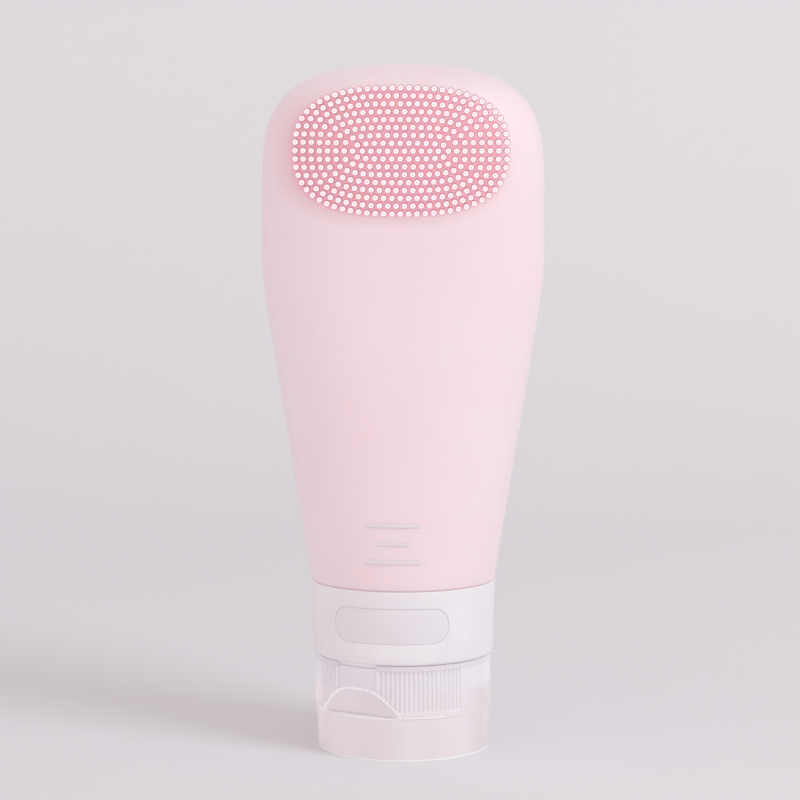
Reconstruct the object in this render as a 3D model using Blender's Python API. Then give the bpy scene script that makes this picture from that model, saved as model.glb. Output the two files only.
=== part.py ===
# Brush-top bottle: a soft squeeze bottle that stands upside down on its flip-top screw cap,
# with a field of soft nubs on the upper front.
# Metres, +Z up. The lid rests on z = 0, the nubs face -Y and the wide side runs along X.
# The bottle's neck points down, so the cap unscrews and the lid opens towards -Z.

import math

import bmesh
import bpy
import numpy as np
from mathutils import Matrix, Vector
from mathutils.geometry import delaunay_2d_cdt

# Clearance between pieces that touch, and how far a cutter runs past what it cuts
CLEARANCE = 0.0003
OVERRUN = 0.002
MERGE_DISTANCE = 0.000001

# Counts and angles
ROUND_SEGMENTS = 36
SMALL_SEGMENTS = 28
BODY_SEGMENTS = 40
CORNER_STEPS = 3
SHARP_ANGLE = math.radians(32.0)
FULL_TURN = 2.0 * math.pi

# Heights of the stack, from the floor up
LID_HEIGHT = 0.0085
CAP_SKIRT_HEIGHT = 0.01055
COLLAR_HEIGHT = 0.01515
FLANK_HEIGHT = 0.0686
DOME_HEIGHT = 0.0364

# Neck insert: threaded below its flange, a spigot inside the soft neck above it
NECK_BORE_RADIUS = 0.0112
NECK_WALL = 0.0016
FLANGE_THICKNESS = 0.0014
SPIGOT_BORE_STEP = 0.0008
SPIGOT_WALL = 0.0013
SPIGOT_RISE = 0.0024
BARB_HEIGHT = 0.0005
BARB_RAMP = 0.0018
BARB_LAND = 0.0004
BARB_COUNT = 2

# Screw thread between the neck and the cap
THREAD_PITCH = 0.0030
THREAD_DEPTH = 0.0008
THREAD_ROOT_WIDTH = 0.0013
THREAD_CREST_WIDTH = 0.0007
THREAD_SINK = 0.0003
THREAD_TURNS = 1.5
THREAD_LEAD_TURNS = 1.0 / 3.0
THREAD_STEPS_PER_TURN = 30
THREAD_RUNOUT_STEPS = 2

# Soft body
SOFT_NECK_WALL = 0.0016
BODY_WALL = 0.0023
BODY_STEP = 0.0001
BODY_HALF_WIDTH = 0.0288
BODY_HALF_DEPTH = 0.0175
FLANK_ARC_RADIUS = 0.083
SHOULDER_ROUND = 0.0006
FLANK_RINGS = 8
DOME_RINGS = 10
WIDTH_RISE_POWER = 5.15
WIDTH_CROWN_POWER = 2.63
DEPTH_RISE_POWER = 5.6
DEPTH_CROWN_POWER = 3.0
NECK_SECTION_POWER = 2.0
TOP_SECTION_POWER = 2.35

# Brush: concentric rows of nubs on a slice of the wall
BRUSH_WIDTH_SHARE = 0.731
BRUSH_HEIGHT_SHARE = 0.340
BRUSH_LEVEL_SHARE = 0.529
BRUSH_OUTER_POWER = 2.7
BRUSH_INNER_POWER = 4.0
NUB_ROW_PITCH = 0.00154
NUB_PITCH = 0.00166
NUB_LENGTH = 0.0024
NUB_BASE_SHARE = 0.40
NUB_TIP_SHARE = 0.29
NUB_SIDES = 4
PAD_MARGIN = 0.0012
PAD_THICKNESS = 0.0010
PAD_OUTLINE_POINTS = 40
PAD_BACK_RINGS = 3
OVAL_SAMPLES = 1440

# Collar, contents ring and window
CONTENTS_RING_WALL = 0.0006
LENS_FLANGE_THICKNESS = 0.0005
LENS_FLANGE_MARGIN = 0.0007
COLLAR_WALL = 0.0017
COLLAR_TAPER = 0.0003
COLLAR_LIP_THICKNESS = 0.0013
COLLAR_LIP_REACH = 0.0019
COLLAR_FOOT_ROUND = 0.0008
COLLAR_RIM_ROUND = 0.0003
WINDOW_LENGTH = 0.0255
WINDOW_HEIGHT = 0.0072
WINDOW_RISE = 0.00045
WINDOW_AZIMUTH = math.radians(-7.3)
WINDOW_COLUMNS = 21

# Cap base
CAP_OVERHANG = 0.0009
CAP_FLARE = 0.00025
CAP_WALL = 0.0012
CAP_EDGE = 0.0003
DECK_THICKNESS = 0.0015
THREAD_CLEARANCE = 0.0004
SLEEVE_WALL = 0.0011
SLEEVE_SHORTFALL = 0.0010
ORIFICE_RADIUS = 0.0042
SPOUT_WALL = 0.0012
SPOUT_DROP = 0.0022
SEAL_WALL = 0.0012
SEAL_RISE = 0.0038
SEAL_BEAD_HEIGHT = 0.0005
SEAL_BEAD_REACH = 0.0005

# Grip ribs, smooth panel and thumb scoop on the cap base
SCOOP_AZIMUTH = math.radians(-30.8)
RIB_PITCH = math.radians(3.0)
RIBS_PER_SIDE = 19
RIB_GAP_SHARE = 0.5
RIB_DEPTH = 0.0003
RIB_FOOT_RISE = 0.0012
PANEL_HALF_ANGLE = math.radians(15.0)
PANEL_NOTCH_DEPTH = 0.0009
PANEL_STEPS = 4
NOTCH_HALF_ANGLE = math.radians(14.4)
SCOOP_RISE = 0.0060
SCOOP_BACK_WALL = 0.0003
SCOOP_KNEE_RISE_SHARE = 0.87
SCOOP_KNEE_DEPTH_SHARE = 0.24
SCOOP_SEAT_SHARE = 0.62

# Gasket, valve and its retainer
GASKET_THICKNESS = 0.0012
VALVE_FLANGE_RADIUS = 0.0070
VALVE_FLANGE_THICKNESS = 0.0012
VALVE_WALL = 0.0008
VALVE_SKIN = 0.0007
VALVE_DROP = 0.0019
VALVE_SLIT_WIDTH = 0.0003
VALVE_SLIT_LENGTH_SHARE = 1.3
RETAINER_THICKNESS = 0.0012
RETAINER_BORE_RADIUS = 0.0044

# Flip lid and its living hinge
LID_SETBACK = 0.00038
LID_TAPER = 0.0003
LID_WALL = 0.0012
LID_FLOOR = 0.0014
LID_EDGE_ROUND = 0.0005
LID_EDGE_STEPS = 3
PLUG_WALL = 0.0010
HINGE_WIDTH = 0.0088
HINGE_SETBACK = 0.0006
FILM_THICKNESS = 0.0004
FILM_HALF_HEIGHT = 0.0018

# Heights worked out from the stack
CAP_BOTTOM = LID_HEIGHT + CLEARANCE
CAP_TOP = CAP_BOTTOM + CAP_SKIRT_HEIGHT
DECK_TOP = CAP_BOTTOM + DECK_THICKNESS
GASKET_BOTTOM = DECK_TOP + CLEARANCE
NECK_RIM = GASKET_BOTTOM + GASKET_THICKNESS + CLEARANCE
COLLAR_BOTTOM = CAP_TOP + CLEARANCE
COLLAR_TOP = COLLAR_BOTTOM + COLLAR_HEIGHT
FLANGE_BOTTOM = COLLAR_BOTTOM + COLLAR_LIP_THICKNESS + CLEARANCE
FLANGE_TOP = FLANGE_BOTTOM + FLANGE_THICKNESS
SHOULDER_HEIGHT = COLLAR_TOP + CLEARANCE
WIDEST_HEIGHT = SHOULDER_HEIGHT + FLANK_HEIGHT
BODY_TOP = WIDEST_HEIGHT + DOME_HEIGHT
SPIGOT_TOP = SHOULDER_HEIGHT + SPIGOT_RISE
HINGE_HEIGHT = LID_HEIGHT + CLEARANCE / 2.0

# Radii worked out from the bore outwards
NECK_OUTER = NECK_BORE_RADIUS + NECK_WALL
SLEEVE_BORE = NECK_OUTER + THREAD_DEPTH + THREAD_CLEARANCE
SLEEVE_OUTER = SLEEVE_BORE + SLEEVE_WALL
SPIGOT_BORE = NECK_BORE_RADIUS + SPIGOT_BORE_STEP
SPIGOT_OUTER = SPIGOT_BORE + SPIGOT_WALL
SOFT_NECK_BORE = SPIGOT_OUTER + CLEARANCE
SOFT_NECK_OUTER = SOFT_NECK_BORE + SOFT_NECK_WALL
CONTENTS_RING_BORE = SOFT_NECK_OUTER + CLEARANCE
CONTENTS_RING_OUTER = CONTENTS_RING_BORE + CONTENTS_RING_WALL
LENS_INNER = CONTENTS_RING_OUTER + CLEARANCE
COLLAR_BORE = LENS_INNER + LENS_FLANGE_THICKNESS + CLEARANCE
COLLAR_TOP_RADIUS = COLLAR_BORE + COLLAR_WALL
COLLAR_FOOT_RADIUS = COLLAR_TOP_RADIUS - COLLAR_TAPER
WAIST_RADIUS = COLLAR_TOP_RADIUS + BODY_STEP
CAP_TOP_RADIUS = COLLAR_TOP_RADIUS - CAP_OVERHANG
CAP_BOTTOM_RADIUS = CAP_TOP_RADIUS + CAP_FLARE
CAP_BORE = CAP_TOP_RADIUS - CAP_WALL
SEAL_OUTER = NECK_BORE_RADIUS - CLEARANCE
SEAL_BORE = SEAL_OUTER - SEAL_WALL
LID_RADIUS = CAP_BOTTOM_RADIUS - LID_SETBACK
HINGE_DISTANCE = math.sqrt(CAP_BOTTOM_RADIUS ** 2 - (HINGE_WIDTH / 2.0) ** 2) + CLEARANCE / 2.0
HINGE_AZIMUTH = SCOOP_AZIMUTH + math.pi


# Directions and points

def outward(azimuth):
    """The level direction that stands at an angle from -Y, turning towards +X."""
    return Vector((math.sin(azimuth), -math.cos(azimuth), 0.0))


def around(radius, azimuth, height):
    """A point at a distance from the bottle's axis."""
    return outward(azimuth) * radius + Vector((0.0, 0.0, height))


def arc(centre_radius, centre_height, radius, start, end, steps):
    """Section points (distance from the axis, height) along a round corner."""
    points = []
    for step in range(steps + 1):
        angle = start + (end - start) * step / steps
        points.append((centre_radius + radius * math.cos(angle), centre_height + radius * math.sin(angle)))
    return points


# Meshes

def finish_mesh(name, bm, material):
    """Closes the mesh, faces it outwards and makes it a named object."""
    bmesh.ops.remove_doubles(bm, verts=bm.verts, dist=MERGE_DISTANCE)
    bmesh.ops.recalc_face_normals(bm, faces=bm.faces)
    mesh = bpy.data.meshes.new(name)
    bm.to_mesh(mesh)
    bm.free()
    mesh.shade_smooth()
    mesh.set_sharp_from_angle(angle=SHARP_ANGLE)
    if material:
        mesh.materials.append(material)
    piece = bpy.data.objects.new(name, mesh)
    bpy.context.collection.objects.link(piece)
    return piece


def turned(name, outline, material, segments=ROUND_SEGMENTS):
    """Turns a section, given as (distance from the axis, height) points, round the axis."""
    bm = bmesh.new()
    corners = [bm.verts.new((radius, 0.0, height)) for radius, height in outline]
    edges = []
    for here, after in zip(corners, corners[1:] + corners[:1]):
        if here.co.x > 0.0 or after.co.x > 0.0:
            edges.append(bm.edges.new((here, after)))
    bmesh.ops.spin(bm, geom=corners + edges, cent=(0.0, 0.0, 0.0), axis=(0.0, 0.0, 1.0),
                   angle=FULL_TURN, steps=segments, use_merge=True)
    return finish_mesh(name, bm, material)


def bridge(bm, row, following):
    """Joins two rings of corners; a ring of one corner is a pole."""
    count = max(len(row), len(following))
    for index in range(count):
        after = (index + 1) % count
        corners = [row[index % len(row)], row[after % len(row)],
                   following[after % len(following)], following[index % len(following)]]
        bm.faces.new(list(dict.fromkeys(corners)))


def skinned(name, rings, material):
    """Joins rings of points into one closed skin, capped at both ends or drawn to a pole."""
    bm = bmesh.new()
    rows = [[bm.verts.new(point) for point in ring] for ring in rings]
    for row, following in zip(rows, rows[1:]):
        bridge(bm, row, following)
    for end in (rows[0], rows[-1]):
        if len(end) > 2:
            bm.faces.new(end)
    return finish_mesh(name, bm, material)


def block_round(name, low_radius, high_radius, centre, half_angle, bottom, top, steps, lean=0.0):
    """A block that bends round the axis; lean draws its top in towards the axis."""
    rings = []
    for step in range(steps + 1):
        azimuth = centre - half_angle + 2.0 * half_angle * step / steps
        rings.append([around(low_radius, azimuth, bottom), around(high_radius, azimuth, bottom),
                      around(high_radius - lean, azimuth, top), around(low_radius - lean, azimuth, top)])
    return skinned(name, rings, None)


def prism_across(name, azimuth, section, half_length):
    """Extrudes a section, given as (distance, height) points, level across a direction."""
    along = outward(azimuth)
    across = Vector((0.0, 0.0, 1.0)).cross(along)
    rings = []
    for side in (-1.0, 1.0):
        shift = across * (side * half_length)
        rings.append([along * distance + shift + Vector((0.0, 0.0, height)) for distance, height in section])
    return skinned(name, rings, None)


def join_shapes(name, shapes):
    """Puts loose shapes that don't touch into one object."""
    bm = bmesh.new()
    for shape in shapes:
        bm.from_mesh(shape.data)
        bpy.data.objects.remove(shape)
    return finish_mesh(name, bm, None)


def combine(piece, tool, operation):
    """Adds the tool to the piece or cuts it away, and hides the tool."""
    modifier = piece.modifiers.new(tool.name, "BOOLEAN")
    modifier.operation = operation
    modifier.solver = "EXACT"
    modifier.object = tool
    tool.hide_render = True
    tool.display_type = "WIRE"


def plastic(name, colour, roughness, transmission=0.0):
    """A plain Principled material."""
    material = bpy.data.materials.new(name)
    material.use_nodes = True
    shader = material.node_tree.nodes["Principled BSDF"]
    shader.inputs["Base Color"].default_value = (*colour, 1.0)
    shader.inputs["Roughness"].default_value = roughness
    shader.inputs["Metallic"].default_value = 0.0
    shader.inputs["Transmission Weight"].default_value = transmission
    material.diffuse_color = (*colour, 1.0)
    return material


# Shape of the soft body

def smooth_step(share):
    """Eases from 0 to 1."""
    return share * share * (3.0 - 2.0 * share)


def flank_half_width(height):
    """A straight flare from the waist that runs into a wide arc at the widest level."""
    centre = BODY_HALF_WIDTH - FLANK_ARC_RADIUS
    reach = math.hypot(WAIST_RADIUS - centre, FLANK_HEIGHT)
    flare = math.atan2(FLANK_HEIGHT, WAIST_RADIUS - centre) - math.acos(FLANK_ARC_RADIUS / reach)
    drop = WIDEST_HEIGHT - height
    if drop < FLANK_ARC_RADIUS * math.sin(flare):
        return centre + math.sqrt(FLANK_ARC_RADIUS ** 2 - drop ** 2)
    return WAIST_RADIUS + (height - SHOULDER_HEIGHT) * math.tan(flare)


def body_section(height):
    """Half width, half depth and squareness of the outer wall at a height."""
    if height <= WIDEST_HEIGHT:
        share = (height - SHOULDER_HEIGHT) / FLANK_HEIGHT
        eased = smooth_step(share)
        depth = WAIST_RADIUS + (BODY_HALF_DEPTH - WAIST_RADIUS) * eased
        power = NECK_SECTION_POWER + (TOP_SECTION_POWER - NECK_SECTION_POWER) * eased
        return flank_half_width(height), depth, power
    share = (height - WIDEST_HEIGHT) / DOME_HEIGHT
    width = BODY_HALF_WIDTH * (1.0 - share ** WIDTH_RISE_POWER) ** (1.0 / WIDTH_CROWN_POWER)
    depth = BODY_HALF_DEPTH * (1.0 - share ** DEPTH_RISE_POWER) ** (1.0 / DEPTH_CROWN_POWER)
    return width, depth, TOP_SECTION_POWER


def oval(half_width, half_depth, power, count):
    """Points of a rounded oval, from +X turning left."""
    points = []
    for index in range(count):
        angle = FULL_TURN * index / count
        c, s = math.cos(angle), math.sin(angle)
        points.append((half_width * math.copysign(abs(c) ** (2.0 / power), c),
                       half_depth * math.copysign(abs(s) ** (2.0 / power), s)))
    return points


def front_of_body(x, z):
    """How far the wall's front lies from the middle plane at a place on it."""
    half_width, half_depth, power = body_section(z)
    return -half_depth * (1.0 - (abs(x) / half_width) ** power) ** (1.0 / power)


def body_ring(half_width, half_depth, power, height):
    return [Vector((x, y, height)) for x, y in oval(half_width, half_depth, power, BODY_SEGMENTS)]


def body_heights():
    """Levels of the wall's rings, closer together where the dome turns over."""
    levels = [SHOULDER_HEIGHT + SHOULDER_ROUND + (FLANK_HEIGHT - SHOULDER_ROUND) * step / FLANK_RINGS
              for step in range(FLANK_RINGS + 1)]
    for step in range(1, DOME_RINGS):
        angle = math.pi / 2.0 * step / DOME_RINGS
        levels.append(WIDEST_HEIGHT + DOME_HEIGHT * math.sin(angle) ** (2.0 / WIDTH_RISE_POWER))
    return levels


def barb_points(base_radius, gap):
    """The spigot's barbs, read downwards; a gap opens them out into the soft neck's grooves."""
    points = []
    spacing = (SPIGOT_TOP - FLANGE_TOP) / (BARB_COUNT + 1)
    for barb in range(BARB_COUNT):
        top = SPIGOT_TOP - spacing * (barb + 1)
        land = top - BARB_RAMP
        points += [(base_radius, top + gap), (base_radius + BARB_HEIGHT, land + gap),
                   (base_radius + BARB_HEIGHT, land - BARB_LAND - gap), (base_radius, land - BARB_LAND - gap)]
    return points


def make_squeeze_body(material):
    """One skin: down the cavity from its crown, round the mouth's end and up the outside."""
    neck_bottom = FLANGE_TOP + CLEARANCE
    cavity_share = (DOME_HEIGHT - BODY_WALL) / DOME_HEIGHT
    outside, cavity = [], []
    for height in body_heights():
        width, depth, power = body_section(height)
        outside.append(body_ring(width, depth, power, height))
        level = min(height, WIDEST_HEIGHT) + max(height - WIDEST_HEIGHT, 0.0) * cavity_share
        if level > SPIGOT_TOP + BODY_WALL:
            cavity.append(body_ring(width - BODY_WALL, depth - BODY_WALL, power, level))
    outside.append([Vector((0.0, 0.0, BODY_TOP))])
    cavity.append([Vector((0.0, 0.0, BODY_TOP - BODY_WALL))])
    foot = [(SOFT_NECK_BORE, SPIGOT_TOP)] + barb_points(SOFT_NECK_BORE, CLEARANCE)
    foot += [(SOFT_NECK_BORE, neck_bottom), (SOFT_NECK_OUTER, neck_bottom),
             (SOFT_NECK_OUTER, SHOULDER_HEIGHT), (WAIST_RADIUS - SHOULDER_ROUND, SHOULDER_HEIGHT)]
    rings = [body_ring(radius, radius, NECK_SECTION_POWER, height) for radius, height in foot]
    body = skinned("squeeze_body", cavity[::-1] + rings + outside, material)
    pocket = oval_slab("brush_pocket", PAD_MARGIN + CLEARANCE, PAD_THICKNESS + CLEARANCE, -OVERRUN)
    combine(body, pocket, "DIFFERENCE")
    return body


# Brush

def brush_half_size():
    return BODY_HALF_WIDTH * BRUSH_WIDTH_SHARE, DOME_HEIGHT * BRUSH_HEIGHT_SHARE


def brush_level():
    return WIDEST_HEIGHT + DOME_HEIGHT * BRUSH_LEVEL_SHARE


def spaced_oval(half_width, half_height, power, pitch):
    """Places at even steps along a rounded oval."""
    fine = oval(half_width, half_height, power, OVAL_SAMPLES)
    loop = np.array(fine + fine[:1])
    run = np.concatenate([[0.0], np.cumsum(np.hypot(*np.diff(loop, axis=0).T))])
    count = 2 * round(run[-1] / pitch / 2.0)
    marks = np.arange(count) * run[-1] / count
    return list(zip(np.interp(marks, run, loop[:, 0]), np.interp(marks, run, loop[:, 1])))


def nub_places():
    """Concentric rows about a straight middle row, as (x, height above the brush's middle)."""
    half_width, half_height = brush_half_size()
    rows = round(half_height / NUB_ROW_PITCH)
    places = []
    for row in range(rows):
        share = row / (rows - 1)
        power = BRUSH_OUTER_POWER + (BRUSH_INNER_POWER - BRUSH_OUTER_POWER) * share
        places += spaced_oval(half_width - row * NUB_PITCH, half_height * (1.0 - row / rows),
                              power, NUB_PITCH)
    middle = half_width - rows * NUB_PITCH
    count = 2 * math.floor(middle / NUB_PITCH + 0.5)
    places += [((index - (count - 1) / 2.0) * NUB_PITCH, 0.0) for index in range(count)]
    return places


def pad_outline(margin, points):
    half_width, half_height = brush_half_size()
    return oval(half_width + margin, half_height + margin, BRUSH_OUTER_POWER, points)


def on_body(x, rise, depth):
    """A point a depth behind the wall's front, at a place in the brush."""
    height = brush_level() + rise
    return Vector((x, front_of_body(x, height) + depth, height))


def oval_slab(name, margin, back_depth, front_depth):
    """The brush's outline, cut out of the space between two depths from the wall's front."""
    outline = pad_outline(margin, PAD_OUTLINE_POINTS)
    rings = []
    for depth, order in ((back_depth, 1), (front_depth, -1)):
        shares = [(ring + 1) / PAD_BACK_RINGS for ring in range(PAD_BACK_RINGS)]
        for share in shares[::order]:
            rings.append([on_body(x * share, rise * share, depth) for x, rise in outline])
    return skinned(name, rings, None)


def make_brush_pad(material):
    """The nubs grow out of the slice's front, which is triangulated round their feet."""
    half_foot = NUB_ROW_PITCH * NUB_BASE_SHARE
    half_tip = NUB_ROW_PITCH * NUB_TIP_SHARE
    outline = pad_outline(PAD_MARGIN, PAD_OUTLINE_POINTS)
    flat = [Vector(point) for point in outline]
    loops = [list(range(len(outline)))]
    corners = [(math.cos(FULL_TURN * side / NUB_SIDES), math.sin(FULL_TURN * side / NUB_SIDES))
               for side in range(NUB_SIDES)]
    places = nub_places()
    for x, rise in places:
        loops.append([len(flat) + side for side in range(NUB_SIDES)])
        flat += [Vector((x + half_foot * across, rise + half_foot * up)) for across, up in corners]
    points, _, faces, _, _, origins = delaunay_2d_cdt(flat, [], loops, 1, MERGE_DISTANCE / 10.0)

    bm = bmesh.new()
    front = [bm.verts.new(on_body(point.x, point.y, 0.0)) for point in points]
    for face, origin in zip(faces, origins):
        if max(origin) == 0:
            bm.faces.new([front[index] for index in face])
    for place, loop in zip(places, loops[1:]):
        foot = [front[index] for index in loop]
        end = on_body(place[0], place[1], -NUB_LENGTH)
        tip = [bm.verts.new(end + Vector((half_tip * across, 0.0, half_tip * up))) for across, up in corners]
        for side in range(NUB_SIDES):
            after = (side + 1) % NUB_SIDES
            bm.faces.new((foot[side], foot[after], tip[after], tip[side]))
        bm.faces.new(tip)
    rows = [front[:len(outline)]]
    for ring in range(PAD_BACK_RINGS, 0, -1):
        share = ring / PAD_BACK_RINGS
        rows.append([bm.verts.new(on_body(x * share, rise * share, PAD_THICKNESS)) for x, rise in outline])
    for row, following in zip(rows, rows[1:]):
        bridge(bm, row, following)
    bm.faces.new(rows[-1])
    return finish_mesh("brush_pad", bm, material)


# Neck insert and threads

def thread_ridge(name, wall_radius, crest_radius, height_at_zero, first_turn):
    """A right-hand ridge that starts and ends inside its wall."""
    inward = 1.0 if crest_radius > wall_radius else -1.0
    sunk = wall_radius - inward * THREAD_SINK
    hidden = wall_radius - inward * THREAD_SINK / 2.0
    half_root, half_crest = THREAD_ROOT_WIDTH / 2.0, THREAD_CREST_WIDTH / 2.0
    steps = round(THREAD_STEPS_PER_TURN * THREAD_TURNS)
    rings = []
    for step in range(steps + 1):
        turn = first_turn + step / THREAD_STEPS_PER_TURN
        azimuth = FULL_TURN * turn
        height = height_at_zero + THREAD_PITCH * turn
        run_in = min(step, steps - step, THREAD_RUNOUT_STEPS) / THREAD_RUNOUT_STEPS
        crest = hidden + (crest_radius - hidden) * run_in
        rings.append([around(sunk, azimuth, height - half_root), around(crest, azimuth, height - half_crest),
                      around(crest, azimuth, height + half_crest), around(sunk, azimuth, height + half_root)])
    return skinned(name, rings, None)


def neck_thread_height():
    """The neck's ridge starts a root width above its rim."""
    return NECK_RIM + THREAD_ROOT_WIDTH


def make_neck_insert(material):
    flange_radius = COLLAR_BORE - CLEARANCE
    outline = [(NECK_BORE_RADIUS, NECK_RIM), (NECK_OUTER, NECK_RIM), (NECK_OUTER, FLANGE_BOTTOM),
               (flange_radius, FLANGE_BOTTOM), (flange_radius, FLANGE_TOP), (SPIGOT_OUTER, FLANGE_TOP)]
    outline += barb_points(SPIGOT_OUTER, 0.0)[::-1]
    outline += [(SPIGOT_OUTER, SPIGOT_TOP), (SPIGOT_BORE, SPIGOT_TOP), (SPIGOT_BORE, FLANGE_TOP),
                (NECK_BORE_RADIUS, FLANGE_TOP - SPIGOT_BORE_STEP)]
    insert = turned("neck_insert", outline, material)
    ridge = thread_ridge("neck_thread", NECK_OUTER, NECK_OUTER + THREAD_DEPTH, neck_thread_height(), 0.0)
    combine(insert, ridge, "UNION")
    return insert


# Collar, window and contents ring

def window_height():
    """The window's middle: its lens flange stands a little above the neck's flange."""
    return FLANGE_TOP + CLEARANCE + WINDOW_RISE + LENS_FLANGE_MARGIN + WINDOW_HEIGHT / 2.0


def oblong_plate(name, margin, inner_radius, outer_radius, material):
    """An oblong with round ends, wrapped on the collar between two radii."""
    half_height = WINDOW_HEIGHT / 2.0 + margin
    half_length = WINDOW_LENGTH / 2.0 + margin
    straight = half_length - half_height
    rings = []
    for column in range(WINDOW_COLUMNS):
        place = -math.cos(math.pi * (column + 0.5) / WINDOW_COLUMNS) * half_length
        past = max(abs(place) - straight, 0.0)
        rise = math.sqrt(half_height ** 2 - past ** 2)
        azimuth = WINDOW_AZIMUTH + place / COLLAR_TOP_RADIUS
        rings.append([around(inner_radius, azimuth, window_height() - rise),
                      around(outer_radius, azimuth, window_height() - rise),
                      around(outer_radius, azimuth, window_height() + rise),
                      around(inner_radius, azimuth, window_height() + rise)])
    return skinned(name, rings, material)


def make_collar(material):
    lip_radius = COLLAR_BORE - COLLAR_LIP_REACH
    outline = [(lip_radius, COLLAR_BOTTOM)]
    outline += arc(COLLAR_FOOT_RADIUS - COLLAR_FOOT_ROUND, COLLAR_BOTTOM + COLLAR_FOOT_ROUND,
                   COLLAR_FOOT_ROUND, -math.pi / 2.0, 0.0, CORNER_STEPS)
    outline += arc(COLLAR_TOP_RADIUS - COLLAR_RIM_ROUND, COLLAR_TOP - COLLAR_RIM_ROUND,
                   COLLAR_RIM_ROUND, 0.0, math.pi / 2.0, CORNER_STEPS - 1)
    outline += [(COLLAR_BORE, COLLAR_TOP), (COLLAR_BORE, COLLAR_BOTTOM + COLLAR_LIP_THICKNESS),
                (lip_radius, COLLAR_BOTTOM + COLLAR_LIP_THICKNESS)]
    collar = turned("collar", outline, material)
    opening = oblong_plate("window_opening", 0.0, COLLAR_BORE - OVERRUN, COLLAR_TOP_RADIUS + OVERRUN, None)
    combine(collar, opening, "DIFFERENCE")
    return collar


def make_window_lens(material):
    """The pane fills the opening and its flange lies behind the collar's wall."""
    flange_outer = LENS_INNER + LENS_FLANGE_THICKNESS
    lens = oblong_plate("window_lens", LENS_FLANGE_MARGIN, LENS_INNER, flange_outer, material)
    pane = oblong_plate("window_pane", -CLEARANCE, LENS_INNER + LENS_FLANGE_THICKNESS / 2.0,
                        COLLAR_FOOT_RADIUS, None)
    combine(lens, pane, "UNION")
    return lens


def make_contents_ring(material):
    bottom = FLANGE_TOP + CLEARANCE
    outline = [(CONTENTS_RING_BORE, bottom), (CONTENTS_RING_OUTER, bottom),
               (CONTENTS_RING_OUTER, COLLAR_TOP), (CONTENTS_RING_BORE, COLLAR_TOP)]
    return turned("contents_ring", outline, material)


# Cap base

def cap_radius(height):
    """The skirt flares a little towards the parting line."""
    return CAP_BOTTOM_RADIUS - CAP_FLARE * (height - CAP_BOTTOM) / CAP_SKIRT_HEIGHT


def cap_section():
    """Spout, skirt, threaded sleeve and bore seal, all on one deck."""
    sleeve_top = CAP_TOP - SLEEVE_SHORTFALL
    spout_bottom = CAP_BOTTOM - SPOUT_DROP
    seal_top = DECK_TOP + SEAL_RISE
    bead_bottom = seal_top - SEAL_BEAD_HEIGHT
    return [(ORIFICE_RADIUS, spout_bottom), (ORIFICE_RADIUS + SPOUT_WALL, spout_bottom),
            (ORIFICE_RADIUS + SPOUT_WALL, CAP_BOTTOM), (CAP_BOTTOM_RADIUS - CAP_EDGE, CAP_BOTTOM),
            (CAP_BOTTOM_RADIUS, CAP_BOTTOM + CAP_EDGE), (CAP_TOP_RADIUS, CAP_TOP),
            (CAP_BORE, CAP_TOP), (CAP_BORE, DECK_TOP), (SLEEVE_OUTER, DECK_TOP),
            (SLEEVE_OUTER, sleeve_top), (SLEEVE_BORE, sleeve_top), (SLEEVE_BORE, DECK_TOP),
            (SEAL_OUTER, DECK_TOP), (SEAL_OUTER, seal_top), (SEAL_BORE - SEAL_BEAD_REACH, seal_top),
            (SEAL_BORE - SEAL_BEAD_REACH, bead_bottom), (SEAL_BORE, bead_bottom - SEAL_BEAD_REACH),
            (SEAL_BORE, DECK_TOP), (ORIFICE_RADIUS, DECK_TOP)]


def grip_grooves():
    """Grooves between the ribs, on both sides of the smooth panel."""
    foot = CAP_BOTTOM + RIB_FOOT_RISE
    top = CAP_TOP + OVERRUN
    lean = CAP_FLARE * (top - foot) / CAP_SKIRT_HEIGHT
    grooves = []
    for side in (-1.0, 1.0):
        for rib in range(RIBS_PER_SIDE):
            azimuth = SCOOP_AZIMUTH + side * (PANEL_HALF_ANGLE + RIB_PITCH * (rib + 1))
            grooves.append(block_round(f"groove_{side}_{rib}", cap_radius(foot) - RIB_DEPTH,
                                       cap_radius(foot) + OVERRUN, azimuth,
                                       RIB_PITCH * RIB_GAP_SHARE / 2.0, foot, top, 1, lean))
    return join_shapes("grip_grooves", grooves)


def scoop_section():
    """The thumb scoop leans out from its deep foot and turns out sharply near its top."""
    deep = SLEEVE_OUTER + SCOOP_BACK_WALL
    depth = CAP_BOTTOM_RADIUS - deep
    knee = (CAP_BOTTOM_RADIUS - depth * SCOOP_KNEE_DEPTH_SHARE,
            CAP_BOTTOM + SCOOP_RISE * SCOOP_KNEE_RISE_SHARE)
    top = (CAP_BOTTOM_RADIUS, CAP_BOTTOM + SCOOP_RISE)
    lean = (knee[0] - deep) / (knee[1] - CAP_BOTTOM)
    below = CAP_BOTTOM - OVERRUN
    return [(deep - lean * OVERRUN, below), knee, top,
            (CAP_BOTTOM_RADIUS + OVERRUN, CAP_BOTTOM + SCOOP_RISE), (CAP_BOTTOM_RADIUS + OVERRUN, below)]


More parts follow.
